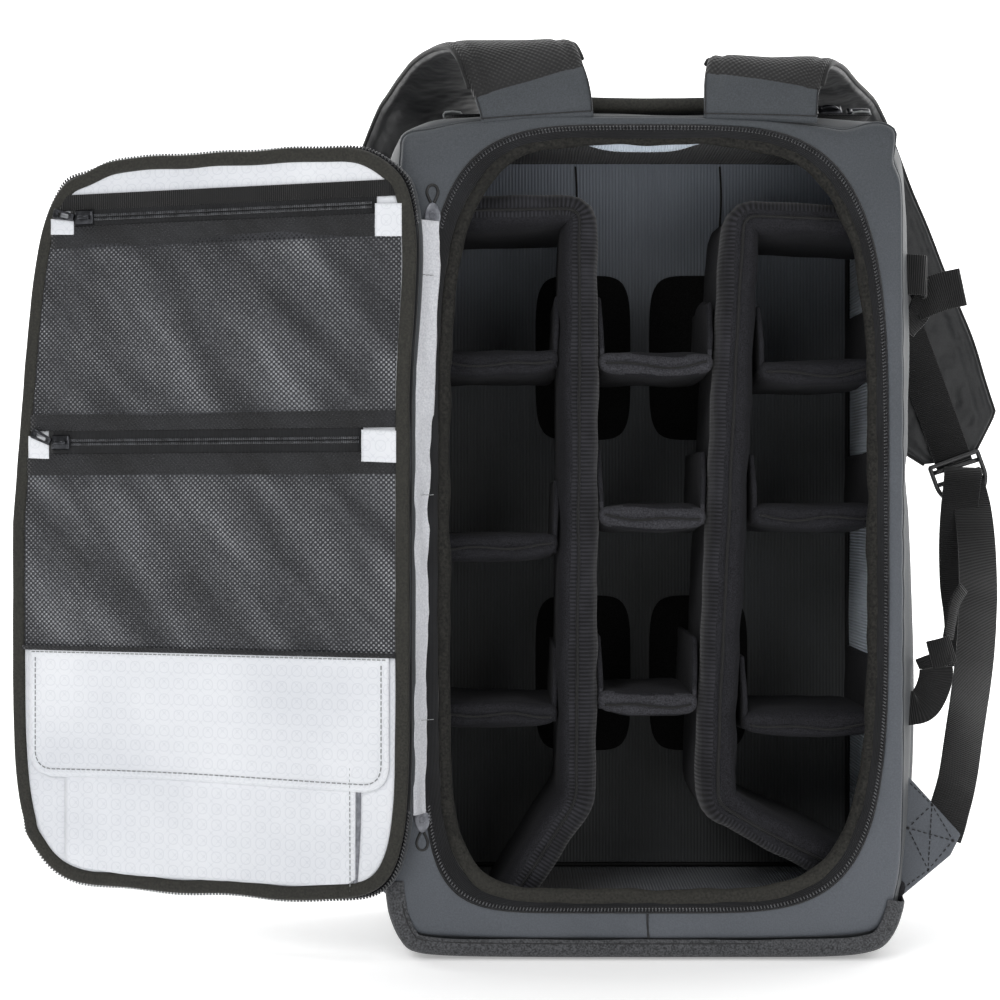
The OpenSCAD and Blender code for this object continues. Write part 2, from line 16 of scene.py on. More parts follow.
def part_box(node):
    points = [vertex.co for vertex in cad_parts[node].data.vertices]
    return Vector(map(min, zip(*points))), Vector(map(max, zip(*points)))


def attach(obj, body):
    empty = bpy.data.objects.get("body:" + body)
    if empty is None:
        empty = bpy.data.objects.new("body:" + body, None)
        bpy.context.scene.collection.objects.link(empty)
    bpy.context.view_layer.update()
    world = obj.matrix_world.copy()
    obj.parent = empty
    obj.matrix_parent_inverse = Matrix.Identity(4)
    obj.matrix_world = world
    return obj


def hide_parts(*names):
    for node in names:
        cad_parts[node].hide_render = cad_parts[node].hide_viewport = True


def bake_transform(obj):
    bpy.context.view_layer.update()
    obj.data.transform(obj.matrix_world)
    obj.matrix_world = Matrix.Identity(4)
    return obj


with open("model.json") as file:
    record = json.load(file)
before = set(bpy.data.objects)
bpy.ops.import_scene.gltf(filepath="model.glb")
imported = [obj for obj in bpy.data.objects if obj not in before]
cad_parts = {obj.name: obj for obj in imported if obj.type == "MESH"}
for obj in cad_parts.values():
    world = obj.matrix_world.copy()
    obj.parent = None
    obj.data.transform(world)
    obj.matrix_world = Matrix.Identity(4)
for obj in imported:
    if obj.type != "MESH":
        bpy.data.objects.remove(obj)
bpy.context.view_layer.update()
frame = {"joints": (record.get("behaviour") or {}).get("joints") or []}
JOINTS = {j["name"]: j for j in frame["joints"]}
HINGE = np.array(JOINTS["lid_hinge"]["pos_m"]) * 1000
OPEN = math.radians(-198)
# the bodies that swing with the lid start with these letters. Their pieces are drawn closed, then folded open
LID_BODIES = ("lid", "pocket_")
EX, EY, EZ = np.eye(3)


# ---------------------------------------------------------------- geometry helpers


def arr(points):
    return np.array(points, float)


def unit(v):
    return v / np.maximum(np.linalg.norm(v, axis=-1, keepdims=True), 1e-9)


def smooth(a, b, x):
    """0 up to a and 1 from b on, with an even change between them."""
    t = np.clip((x - a) / (b - a), 0, 1)
    return t * t * (3 - 2 * t)


def hill(x, middle, width, power=2):
    """1 at the middle, falling to 0 beyond the width."""
    return np.exp(-(((x - middle) / width) ** power))


def power(v, p):
    """Power that keeps the sign of v."""
    return np.sign(v) * np.abs(v) ** p


def turns(n):
    """n angles round a circle."""
    return np.arange(n) * 2 * np.pi / n


def heading(P):
    """Direction of a curve at each of its points."""
    return unit(np.gradient(P, axis=0))


def level(x0, x1, n, y, z):
    """n points along X at one depth and height."""
    return arr([(x, y, z) for x in np.linspace(x0, x1, n)])


def bumps(P, scale, seed=0.0):
    """Smooth noise from -1 to 1 at each point of P, with features about scale mm wide (one number, or one per axis)."""
    q = P.reshape(-1, 3) / np.broadcast_to(scale, 3) + np.array([seed * 7.3, seed * 3.1, seed * 5.7])
    return arr([noise.noise(Vector(p)) for p in q]).reshape(P.shape[:-1])


def spline(points, n, closed=False):
    """Catmull-Rom curve through points with n steps between neighbours."""
    p = arr(points)
    if closed:
        p = np.concatenate([p[-1:], p, p[:2]])
    else:
        p = np.concatenate([2 * p[:1] - p[1:2], p, 2 * p[-1:] - p[-2:-1]])
    out = []
    for i in range(1, len(p) - 2):
        a, b, c, d = p[i - 1], p[i], p[i + 1], p[i + 2]
        for t in np.arange(n) / n:
            out.append(0.5 * (2 * b + (c - a) * t + (2 * a - 5 * b + 4 * c - d) * t**2 + (3 * b - a - 3 * c + d)
                * t**3))
    if not closed:
        out.append(p[-2])
    return arr(out)


def along(P, n, closed=False):
    """P resampled to n points at equal distances."""
    q = np.concatenate([P, P[:1]]) if closed else P
    s = np.concatenate([[0], np.cumsum(np.linalg.norm(np.diff(q, axis=0), axis=1))])
    want = np.linspace(0, s[-1], n, endpoint=not closed)
    return np.stack([np.interp(want, s, q[:, k]) for k in range(q.shape[1])], 1)


def length_of(P, closed=False):
    q = np.concatenate([P, P[:1]]) if closed else P
    return float(np.linalg.norm(np.diff(q, axis=0), axis=1).sum())


def rounded_path(points, r, n=6):
    """Polyline with its corners rounded."""
    p = arr(points)
    out = [p[0]]
    for a, b, c in zip(p[:-2], p[1:-1], p[2:]):
        s, e = b + unit(a - b) * r, b + unit(c - b) * r
        for t in np.linspace(0, 1, n):
            out.append((1 - t) ** 2 * s + 2 * t * (1 - t) * b + t * t * e)
    out.append(p[-1])
    return arr(out)


def oval(cx, cz, a, b, square, taper=0.0, n=320):
    """Outline whose corners (+X+Z, -X+Z, -X-Z, +X-Z) each have their own squareness."""
    t = turns(1440)
    c, s = np.cos(t), np.sin(t)
    e = np.where(c >= 0, np.where(s >= 0, square[0], square[3]), np.where(s >= 0, square[1], square[2]))
    x, z = power(c, 2 / e), power(s, 2 / e)
    x = x * np.where((x > 0) & (z > 0), 1 - taper * z, 1)
    return along(np.stack([cx + a * x, cz + b * z], 1), n, True)


def zip_line(d, n=320):
    """The main zip's line round the opening, moved inwards by d."""
    return oval(4, 258, 136 - d, 230 - d, (4.0, 4.5, 7.4, 4.6), n=n)


# the closed lid's outline: middle, half width, half height, squareness of its corners, taper towards the top
LID_X, LID_Z, LID_A, LID_B = -1.25, 255, 130.75, 221.5
LID_SQUARE, LID_TAPER = (6.8, 9, 8.3, 6.3), 0.15


def lid_ear(x, z):
    """How far the lid's hinge edge stands out near its upper end."""
    return 5.5 * smooth(320, 430, z) * (1 - smooth(452, 474, z)) * smooth(-96, -126, x)


def lid_line(d, n=320):
    """The closed lid's outline moved inwards by d, with the dents and waves of its edge."""
    Q = oval(LID_X, LID_Z, LID_A - d, LID_B - d, LID_SQUARE, LID_TAPER, n=n)
    Q[:, 0] -= lid_ear(Q[:, 0], Q[:, 1])
    top, low = smooth(440, 465, Q[:, 1]), smooth(75, 50, Q[:, 1])
    Q[:, 1] -= top * (4.2 * hill(Q[:, 0], 77, 12) + 0.35 * np.sin(Q[:, 0] / 7))
    Q[:, 0] += 1.4 * smooth(60, 90, Q[:, 0]) * (hill(Q[:, 1], 464, 5) + hill(Q[:, 1], 66, 5))
    Q[:, 1] -= 0.8 * low * np.sin(Q[:, 0] / 11)
    return Q


def round_rect(x0, z0, x1, z1, r, n):
    """Rectangle with round corners, as n points in X and Z."""
    pts = []
    for cx, cz, a in ((x1 - r, z1 - r, 0), (x0 + r, z1 - r, 90), (x0 + r, z0 + r, 180), (x1 - r, z0 + r, 270)):
        for k in np.radians(np.linspace(a, a + 90, 10)):
            pts.append((cx + r * math.cos(k), cz + r * math.sin(k)))
    return along(arr(pts), n, True)


def on_rays(outline, rays, centre):
    """Where rays from centre through each point of rays meet the outline."""
    c = arr(centre)
    a = np.arctan2(*(outline - c).T[::-1])
    r = np.linalg.norm(outline - c, axis=1)
    order = np.argsort(a)
    a, r = a[order], r[order]
    want = np.arctan2(*(rays - c).T[::-1])
    rad = np.interp(want, np.concatenate([a - 2 * np.pi, a, a + 2 * np.pi]), np.tile(r, 3))
    return c + unit(rays - c) * rad[:, None]


def at_y(Q, y):
    """Outline points (X, Z) placed at depth y."""
    return np.stack([Q[:, 0], np.broadcast_to(y, len(Q)), Q[:, 1]], 1)


def fold_open(P):
    """Points of the closed lid turned to where it lies open."""
    d = P - HINGE
    c, s = math.cos(OPEN), math.sin(OPEN)
    x, y = c * d[..., 0] - s * d[..., 1], s * d[..., 0] + c * d[..., 1]
    return np.stack([HINGE[0] + x, HINGE[1] + y, P[..., 2]], -1)


class Shape:
    """Vertices, faces and UVs gathered for one piece."""

    def __init__(self):
        self.v, self.f, self.uv, self.m = [], [], [], []
        self.n = 0

    def add(self, verts, faces, uvs, mat=0):
        self.v.append(arr(verts).reshape(-1, 3))
        self.f += [[k + self.n for k in f] for f in faces]
        self.uv += uvs
        self.m += [mat] * len(faces)
        self.n += len(self.v[-1])
        return self

    def grid(self, P, close_u=False, close_v=False, caps=False, mat=0):
        """P is an array of rows of points. caps closes the ends of a tube."""
        nu, nv = P.shape[:2]
        W = np.concatenate([P, P[:1]]) if close_u else P
        W = np.concatenate([W, W[:, :1]], 1) if close_v else W
        lu, lv = (
            np.concatenate([[0], np.cumsum(np.linalg.norm(np.diff(W, axis=k), axis=2).mean(1 - k))]) / 1000
            for k in (0, 1)
        )
        faces, uvs = [], []
        for i in range(len(W) - 1):
            for j in range(W.shape[1] - 1):
                q = ((i, j), (i + 1, j), (i + 1, j + 1), (i, j + 1))
                faces.append([(a % nu) * nv + b % nv for a, b in q])
                uvs.append([(lu[a], lv[b]) for a, b in q])
        if caps:
            for row, order in ((0, range(nv)), (nu - 1, range(nv - 1, -1, -1))):
                faces.append([row * nv + k for k in order])
                uvs.append([(lu[row], lv[k]) for k in order])
        return self.add(P, faces, uvs, mat)

    def rod(self, path, side, a, b, n=8, square=2.0, closed=False):
        """Thin rod along a path, a by b in half sizes, with capped ends unless it is closed on itself."""
        P = sweep(path, side, ring_section(a, b, n, square), closed)
        return self.grid(P, close_u=closed, close_v=True, caps=not closed)

    def bars(self, C, T, N, size):
        """Small tapered bars at C, size = (length along T, width, height along N)."""
        T, N = np.broadcast_to(unit(arr(T)), C.shape), np.broadcast_to(unit(arr(N)), C.shape)
        S = np.cross(N, T)
        L, W, H = size
        corners = [(-1, -1), (1, -1), (1, 1), (-1, 1)]
        ring = lambda k, h: [C + T * a * L / 2 * k + S * b * W / 2 * k + N * h for a, b in corners]
        V = np.stack(ring(1, 0) + ring(1, H * 0.55) + ring(0.62, H), 1)
        quads = [[b + k, b + (k + 1) % 4, b + 4 + (k + 1) % 4, b + 4 + k] for b in (0, 4) for k in range(4)]
        quads += [[8, 9, 10, 11], [3, 2, 1, 0]]
        faces = [[12 * i + k for k in q] for i in range(len(C)) for q in quads]
        return self.add(V, faces, [[(0, 0)] * 4] * len(faces))

    def pad(self, low, high, r, n, crown=0.0, warp=None):
        """Box with rounded edges of radius r, its faces divided n times along each axis."""
        low, high = arr(low), arr(high)
        c, h = (low + high) / 2, (high - low) / 2
        for ax in range(3):
            u, v = (ax + 1) % 3, (ax + 2) % 3
            for sgn in (-1, 1):
                gu = np.sin(np.linspace(-1, 1, n[u] + 1) * np.pi / 2)
                gv = np.sin(np.linspace(-1, 1, n[v] + 1) * np.pi / 2)[::sgn]
                P = np.zeros((len(gu), len(gv), 3))
                P[..., u], P[..., v], P[..., ax] = gu[:, None] * h[u], gv[None] * h[v], sgn * h[ax]
                rr = min(r, *h)
                inner = np.clip(P, -(h - rr), h - rr)
                P = inner + unit(P - inner) * rr
                q = P / h
                thin = int(np.argmin(h))
                o1, o2 = [k for k in range(3) if k != thin]
                P[..., thin] *= 1 + crown * (1 - q[..., o1] ** 2) * (1 - q[..., o2] ** 2)
                P = P + c
                self.grid(warp(P) if warp else P)
        return self

    def plate(self, low, high, r, n, crown=0.0, square=5.0):
        """Pad whose outline in X and Z is a superellipse."""
        low, high = arr(low), arr(high)
        c, h = (low + high)[::2] / 2, (high - low)[::2] / 2
        return self.pad(low, high, r, n, crown, lambda P: corner_trim(P, c, h, square))


def sweep(path, side, section, close=False):
    """Rows of points: section (a, b) at each path point, a along side and b along tangent x side."""
    path, side = arr(path), np.broadcast_to(arr(side), (len(path), 3))
    tan = unit(np.roll(path, -1, 0) - np.roll(path, 1, 0))
    if not close:
        tan[0], tan[-1] = unit(path[1] - path[0]), unit(path[-1] - path[-2])
    s = unit(side - (side * tan).sum(1, keepdims=True) * tan)
    n = np.cross(tan, s)
    sec = np.broadcast_to(arr(section), (len(path),) + arr(section).shape[-2:])
    return path[:, None] + sec[..., :1] * s[:, None] + sec[..., 1:] * n[:, None]


def ring_section(a, b, n, square=2.0):
    """Section of a rod: an ellipse of half sizes a and b, or squarer."""
    t = turns(n)
    return np.stack([a * power(np.cos(t), 2 / square), b * power(np.sin(t), 2 / square)], 1)


def piece(name, shape, mats, body, replaces=(), subdivide=0, thick=0.0, weld=0.0, flat=False):
    """Makes the Blender object of one piece and declares its body and the nodes it replaces."""
    V = np.concatenate(shape.v)
    if body and body.startswith(LID_BODIES):
        V = fold_open(V)
    mesh = bpy.data.meshes.new(name)
    mesh.from_pydata((V / 1000).tolist(), [], shape.f)
    uv = mesh.uv_layers.new(name="UVMap")
    uv.data.foreach_set("uv", [c for f in shape.uv for q in f for c in q])
    mesh.polygons.foreach_set("material_index", shape.m)
    if not flat:
        mesh.polygons.foreach_set("use_smooth", [True] * len(shape.f))
    for m in mats if isinstance(mats, (list, tuple)) else [mats]:
        mesh.materials.append(m)
    obj = bpy.data.objects.new(name, mesh)
    bpy.context.scene.collection.objects.link(obj)
    b = bmesh.new()
    b.from_mesh(mesh)
    bmesh.ops.remove_doubles(b, verts=b.verts, dist=max(weld, 0.001) / 1000)
    bmesh.ops.recalc_face_normals(b, faces=b.faces)
    b.to_mesh(mesh)
    b.free()
    if thick:
        m = obj.modifiers.new("thick", "SOLIDIFY")
        m.thickness, m.offset = thick / 1000, 0
    if subdivide:
        m = obj.modifiers.new("smooth", "SUBSURF")
        m.levels = m.render_levels = subdivide
    if body:
        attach(obj, body)
    if replaces:
        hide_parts(*replaces)
    return obj


def puff(obj, voxel, cap, share, grow, frames=16, also=()):
    """Inflates a copy of a padded piece as cloth and moves the piece's own points by what the copy moved.

    cap is the farthest a point may go in mm. also names pieces that follow the same movement.
    """
    scene = bpy.context.scene
    twin = bpy.data.objects.new(obj.name + "_sim", obj.data.copy())
    scene.collection.objects.link(twin)
    m = twin.modifiers.new("remesh", "REMESH")
    m.mode, m.voxel_size = "VOXEL", voxel / 1000
    deps = bpy.context.evaluated_depsgraph_get()
    base = bpy.data.meshes.new_from_object(twin.evaluated_get(deps))
    twin.modifiers.clear()
    twin.data = base
    c = twin.modifiers.new("cloth", "CLOTH")
    c.point_cache.frame_start, c.point_cache.frame_end = 1, frames
    k = c.settings
    k.quality, k.mass, k.effector_weights.gravity = 4, 0.2, 0.0
    k.tension_stiffness = k.compression_stiffness = 12
    k.shear_stiffness, k.bending_stiffness, k.shrink_min = 4, 0.3, -grow
    k.use_pressure, k.uniform_pressure_force = True, 3.0
    start = np.empty(len(base.vertices) * 3)
    base.vertices.foreach_get("co", start)
    for f in range(1, frames + 1):
        scene.frame_set(f)
    done = twin.evaluated_get(bpy.context.evaluated_depsgraph_get()).to_mesh()
    end = np.empty(len(start))
    done.vertices.foreach_get("co", end)
    start, end = start.reshape(-1, 3), end.reshape(-1, 3)
    move = np.nan_to_num(end - start - (end - start).mean(0)) * arr(share)
    size = np.linalg.norm(move, axis=1, keepdims=True)
    move *= np.tanh(size / (cap / 1000)) * (cap / 1000) / np.maximum(size, 1e-9)
    tree = KDTree(len(start))
    for i, q in enumerate(start):
        tree.insert(q, i)
    tree.balance()
    for o in (obj, *also):
        for v in o.data.vertices:
            near = tree.find_n(v.co, 6)
            w = arr([1 / (d + 0.0015) for _, _, d in near])
            v.co += Vector((w[:, None] * move[[i for _, i, _ in near]]).sum(0) / w.sum())
    bpy.data.objects.remove(twin)
    scene.frame_set(1)


# ---------------------------------------------------------------- materials


def lin(r, g, b):
    """Linear colour of an sRGB one given from 0 to 255."""
    return tuple(((c / 255 + 0.055) / 1.055) ** 2.4 if c > 10 else c / 255 / 12.92 for c in (r, g, b)) + (1.0,)


class Val:
    """A shader value. Arithmetic and comparisons on it add Math nodes."""

    def __init__(self, mat, out):
        self.mat, self.out = mat, out

    def op(self, name, b=None):
        return self.mat.math(name, self, b)

    def __add__(self, b):
        return self.op("ADD", b)

    def __sub__(self, b):
        return self.op("SUBTRACT", b)

    def __rsub__(self, b):
        return self.mat.math("SUBTRACT", b, self)

    def __mul__(self, b):
        return self.op("MULTIPLY", b)

    def __pow__(self, b):
        return self.op("POWER", b)

    def __lt__(self, b):
        return self.op("LESS_THAN", b)

    def __gt__(self, b):
        return self.op("GREATER_THAN", b)

    def __abs__(self):
        return self.op("ABSOLUTE")


class Mat:
    """A Principled material under construction, with a few shorthand node makers."""

    def __init__(self, name, rough=0.7, sheen=0.0, metal=0.0, coat=0.0, spec=0.4):
        self.m = bpy.data.materials.new(name)
        self.m.use_nodes = True
        self.t = self.m.node_tree
        self.p = self.t.nodes["Principled BSDF"]
        self.p.inputs["Roughness"].default_value = rough
        self.p.inputs["Metallic"].default_value = metal
        self.p.inputs["Coat Weight"].default_value = coat
        self.p.inputs["Sheen Weight"].default_value = sheen
        self.p.inputs["Sheen Roughness"].default_value = 0.45
        self.p.inputs["Specular IOR Level"].default_value = spec
        self.height = None
        self.co = self.node("TexCoord")

    def feed(self, v, socket):
        """Sets a socket to a number, or links it to a value."""
        if isinstance(v, (int, float)):
            socket.default_value = v
        else:
            self.t.links.new(v.out if isinstance(v, Val) else v, socket)

    def node(self, kind, **inputs):
        """New shader node. Each keyword feeds the input of that name, with _ for a space."""
        n = self.t.nodes.new("ShaderNode" + kind)
        for key, v in inputs.items():
            self.feed(v, n.inputs[key.replace("_", " ")])
        return n

    def math(self, op, a, b=None):
        n = self.node("Math")
        n.operation = op
        for v, socket in zip((a, b), n.inputs):
            if v is not None:
                self.feed(v, socket)
        return Val(self, n.outputs[0])

    def noise(self, scale, detail=3.0):
        n = self.node("TexNoise", Vector=self.co.outputs["Object"], Scale=scale, Detail=detail)
        return Val(self, n.outputs[0])

    def grain(self, a, b, scale, detail):
        """Noise over the two values a and b instead of over space."""
        n = self.node("TexNoise", Vector=self.node("CombineXYZ", X=a, Y=b).outputs[0], Scale=scale, Detail=detail)
        return Val(self, n.outputs[0])

    def axes(self, space):
        """The coordinates of a point in "Object" or "UV" space, in metres."""
        return [Val(self, o) for o in self.node("SeparateXYZ", Vector=self.co.outputs[space]).outputs]

    def wave(self, value, pitch_mm, phase=0.0):
        """Sine of value (metres) with the given pitch."""
        return (value * (2 * math.pi * 1000 / pitch_mm) + phase).op("SINE")

    def ramp(self, value, stops):
        n = self.node("ValToRGB")
        e = n.color_ramp.elements
        e[0].position, e[0].color = stops[0]
        e[1].position, e[1].color = stops[-1]
        for p, c in stops[1:-1]:
            e.new(p).color = c
        self.feed(value, n.inputs[0])
        self.feed(n.outputs[0], self.p.inputs["Base Color"])

    def paint(self, value, *stops):
        """Base colour from value through stops of (position, sRGB colour)."""
        self.ramp(value, [(p, lin(*c)) for p, c in stops])

    def bump(self, value, mm, strength):
        n = self.node("Bump", Height=value, Distance=mm / 1000, Strength=strength)
        if self.height is not None:
            self.feed(self.height, n.inputs["Normal"])
        self.height = n.outputs[0]
        self.feed(self.height, self.p.inputs["Normal"])
        return self


def cloth(name, a, b, fine=900, weave=0.12, soft=35, rough=0.75, sheen=0.15, spec=0.3, fold=1.2):
    m = Mat(name, rough, sheen, spec=spec)
    m.paint(m.noise(fine, 2.0), (0.3, a), (0.7, b))
    m.bump(m.noise(soft), fold, 0.5 if fold < 2 else 0.9)
    return m.bump(m.noise(fine, 2.0), weave, 0.6).m


def pack_cloth():
    """Smooth coated cloth, darkened towards the top by painted shade."""
    m = Mat("pack_cloth", 0.55, 0.12, spec=0.35)
    z = m.axes("Object")[2]
    # the z term is painted shade, darkest at the top of the pack
    tone = m.noise(1100, 2.0) * 0.5 + m.noise(9) * 0.5 - (z * 2.0) ** 3.0 * 0.42
    m.paint(tone, (0.0, (55, 59, 63)), (0.7, (90, 94, 101)))
    m.bump(m.noise(16), 2.0, 0.5)
    return m.bump(m.noise(1100, 2.0), 0.1, 0.6).m


def roll_cloth():
    """Soft binding cloth, darkened by painted shade above the foot of the opening."""
    m = Mat("opening_roll_cloth", 0.8, 0.05, spec=0.2)
    z = m.axes("Object")[2]
    shade = ((z - 0.045) * 8.0).op("MAXIMUM", 0.0).op("MINIMUM", 0.27)
    m.paint(m.noise(700, 2.0) - shade, (0.0, (14, 14, 14)), (0.7, (56, 55, 51)))
    m.bump(m.noise(60), 1.6, 0.7)
    return m.bump(m.noise(700, 2.0), 0.3, 0.6).m


def ribbed(name, a, b, pitch, depth, rough):
    m = Mat(name, rough, 0.2, spec=0.25)
    ribs = m.wave(m.axes("UV")[0], pitch)
    m.paint(ribs * 0.25 + m.noise(40), (0.25, a), (0.8, b))
    m.bump(m.noise(30), 1.0, 0.5)
    return m.bump(ribs, depth, 0.8).m


def wall_lining():
    """Ribbed lining with painted light and shade: paler along the side away from the lid, a painted highlight where it
    bulges out under the top of the opening, and painted shade on the top end wall.
    """
    m = Mat("wall_lining", 0.8, 0.2, spec=0.25)
    ribs = m.wave(m.axes("UV")[0], 1.9)
    x, y, z = m.axes("Object")
    bulge = (z - 0.47 > 0.0) * (-0.074 - y > 0.0) * (abs(x + 0.004) < 0.034)
    end_wall_shade = (z - 0.47 > -0.006) * (abs(x) < 0.118)
    # painted light and shade: x * 3.2 lightens the right wall and darkens the left one, the bulge mask adds a painted
    # highlight under the top of the opening, and the top end wall's mask adds painted shade
    tone = x * 3.2 + (ribs * 0.06 + m.noise(18, 4.0) * 0.35) + bulge * 1.4 - end_wall_shade * 0.5
    m.paint(tone, (0.0, (20, 21, 24)), (0.1, (56, 61, 70)), (0.45, (66, 73, 84)), (0.62, (200, 211, 224)))
    m.bump(m.noise(30), 1.0, 0.5)
    return m.bump(ribs, 0.35, 0.8).m


def floor_lining():
    """Fine upright ribs, made lighter towards the top end of the compartment by painted light."""
    m = Mat("floor_lining", 0.8, 0.2, spec=0.25)
    z, x, _ = m.axes("UV")
    ribs = m.wave(x, 2.1)
    # the z term is painted light, brightest at the top end of the compartment
    tone = (z * (1 / 0.458)) ** 5.0 + ribs * 0.035 + m.noise(14, 4.0) * 0.3
    m.paint(tone, (0.05, (74, 75, 74)), (0.4, (96, 99, 103)), (1.0, (161, 168, 179)))
    m.bump(m.noise(25), 1.0, 0.5)
    return m.bump(ribs, 0.3, 0.7).m


def lining():
    """Light lining with a tone-on-tone trellis of rings."""
    m = Mat("light_lining", 0.6, 0.25, spec=0.3)
    u, v, _ = m.axes("UV")
    pitch = 19.0
    lattice = abs(m.wave(u + v, pitch, 0.4) * m.wave(u - v, pitch, 0.4))
    ring = abs(m.wave(u, pitch, 1.57) * m.wave(v, pitch, 1.57))
    marks = (lattice < 0.05).op("MAXIMUM", abs(ring - 0.5) < 0.09)
    m.paint(marks * -0.2 + m.noise(12, 4.0), (0.1, (206, 209, 215)), (0.7, (232, 234, 238)))
    m.bump(m.noise(22, 4.0), 1.6, 0.7)
    return m.bump(m.noise(1100, 2.0), 0.08, 0.4).m


def net(name, pitch, dark, light, hole=None):
    """Knitted mesh, its colour lighter along broad slanting folds: painted highlights. With hole set, its staggered
    holes are open, and a little more so along the same folds.
    """
    m = Mat(name, 0.6, 0.15, spec=0.35)
    u, v, _ = m.axes("UV")
    lattice = m.wave(u, pitch[0]) * m.wave(v, pitch[1])
    fold = m.grain(u * 1.1 - v, (u + v) * 0.22, 26, 2.0)
    # painted highlights along the folds
    m.paint(fold + m.noise(60) * 0.2, (0.4, dark), (0.85, light))
    if hole is not None:
        m.feed(lattice < (hole + 0.55) - fold * 1.1, m.p.inputs["Alpha"])
    return m.bump(lattice, 0.35, 0.9).m


def hard(name, a, b, rough, metal=0.0, coat=0.0):
    m = Mat(name, rough, 0.0, metal, coat, 0.5)
    m.paint(m.noise(300, 2.0), (0.35, a), (0.65, b))
    return m.bump(m.noise(500, 2.0), 0.04, 0.3).m


PACK = pack_cloth()
# Darker copy of the pack cloth: painted shade on the panels round the face, the seam at the face's edge, the lid's back
# cover and the side pocket.
PACK_SHADED = cloth("pack_cloth_dark", (50, 53, 56), (62, 66, 70), 1100, 0.1, 18, 0.6)
BOOT = cloth("boot_cloth", (34, 35, 37), (84, 85, 88), 900, 0.3, 25, 0.6, 0.05)
BINDING = cloth("binding_cloth", (30, 30, 27), (52, 51, 46), 800, 0.2, 60, 0.7, 0.1)
ROLL = roll_cloth()
DIVIDER = cloth("divider_cloth", (22, 22, 24), (46, 46, 50), 1300, 0.2, 40, 0.9, 0.02, 0.12)
DIVIDER_EDGE = cloth("divider_edge_cloth", (34, 34, 37), (66, 66, 71), 1100, 0.25, 50, 0.85, 0.05, 0.2)
DIVIDER_RIBS = ribbed("divider_ribs", (16, 16, 19), (46, 46, 51), 2.3, 0.22, 0.85)
FUZZ = cloth("loop_cloth", (12, 12, 12), (30, 30, 30), 1500, 0.3, 60, 0.95, 0.1, 0.1)
STRAP_SHEEN = cloth("strap_sheen_cloth", (14, 15, 17), (27, 29, 32), 1000, 0.08, 24, 0.42, 0.08, 0.4, 7.0)
PIPING = cloth("piping", (10, 10, 11), (22, 22, 23), 900, 0.15, 80, 0.6, 0.1)
GUSSET = cloth("gusset_cloth", (186, 188, 194), (212, 213, 217), 900, 0.1, 30, 0.7)
WEBBING = ribbed("webbing", (9, 9, 10), (26, 26, 27), 1.3, 0.3, 0.7)
TAPE = ribbed("zip_tape", (12, 12, 14), (30, 31, 34), 0.9, 0.15, 0.75)
WALL = wall_lining()
FLOOR = floor_lining()
LINING = lining()
HEM = net("pocket_hem", (2.6, 2.6), (16, 16, 18), (42, 43, 47))
NET = net("pocket_net", (3.1, 2.9), (26, 27, 31), (56, 57, 62), 0.40)
AIR_MESH = net("air_mesh", (3.4, 3.4), (12, 12, 13), (30, 30, 31))
TEETH = hard("zip_teeth", (26, 26, 28), (54, 55, 58), 0.25, coat=0.6)
COIL = hard("pocket_coil", (40, 41, 44), (78, 80, 84), 0.35, coat=0.3)
METAL = hard("gunmetal", (42, 43, 46), (70, 71, 75), 0.28, 0.8)
GREY_METAL = hard("grey_slider", (98, 100, 107), (130, 132, 138), 0.35, 0.4)
PLASTIC = hard("black_plastic", (20, 20, 22), (34, 34, 36), 0.35, coat=0.2)
CORD = hard("cord_rubber", (14, 14, 15), (26, 26, 27), 0.5)
THREAD = hard("thread", (118, 121, 122), (146, 149, 150), 0.7)
DARK_THREAD = hard("dark_thread", (20, 20, 21), (38, 38, 40), 0.7)


# ---------------------------------------------------------------- body

# middle of the opening (X, Z), points round each outline of the pack, flat face, zip tape and compartment floor (Y)
CENTRE = (4, 258)
N = 360
FACE_Y, TAPE_Y, FLOOR_Y = -91.4, -90.9, 52.0
HALF_WIDTH = 153
FACE_EDGE = spline(
    [
        (-28, 493.5), (-69, 494), (-98, 491.5), (-110, 490.2), (-128, 486.6), (-139.8, 485), (-145.2, 480.5), (-145,
            474), (-146, 462), (-147, 420),
        (-150, 300), (-152, 150), (-153.5, 62), (-152, 42), (-147, 25), (-139, 15), (-110, 12.5), (0, 11.5), (100,
            12.5), (132, 15.5), (141, 24),
        (144.5, 38), (148, 60), (149.2, 117), (149, 250), (148.8, 400), (148.3, 452), (145.4, 463), (142.8,
            471), (144.8, 478), (145.7, 485),
        (141, 489), (134, 490.6), (125, 488.8), (115, 486), (100, 488), (60, 491.5), (20, 493.3),
    ],
    6, True,
)
# soft folds of the face: middle (X, Z), direction in degrees, half length, half width, height
FACE_FOLDS = [
    (-116, 52, -48, 24, 3.2, 1.3), (-104, 36, -40, 22, 3.0, 1.1), (-128, 88, -62, 26, 3.4, 1.0), (-37, 24, -35, 12,
        2.6, 0.8), (-15, 23, -30, 12, 2.4, 0.8), (28, 22, 20, 14, 2.6, 0.6),
    (143, 200, 88, 60, 2.6, 0.9), (141, 330, 92, 55, 2.6, 0.8), (128, 72, 52, 20, 3.0, 1.0), (138, 120, 70, 22, 2.8,
        0.9), (-124, 470, 35, 18, 3.2, 1.1), (131, 468, -40, 16, 3.2, 1.0), (60, 489, 4, 26, 2.4, 0.7),
]


def face_outer():
    """Outer edge of the pack's face, on the same rays as the zip line."""
    return on_rays(FACE_EDGE, zip_line(0, N), CENTRE)


def from_axis(P):
    """Vectors from the line through the middle of the opening to each point, along X and Z."""
    return (P - arr([CENTRE[0], 0, CENTRE[1]])) * (1, 0, 1)


def side_reach(z):
    """How far the right side stands out at height z."""
    return np.interp(z, [40, 70, 112, 131, 156, 180, 208, 262, 279, 286, 300, 360, 438, 470, 490],
                     [154, 158, 161, 162, 163.5, 163.2, 163.0, 159.6, 157.2, 156.8, 159.5, 160.6, 158.6, 155, 152])


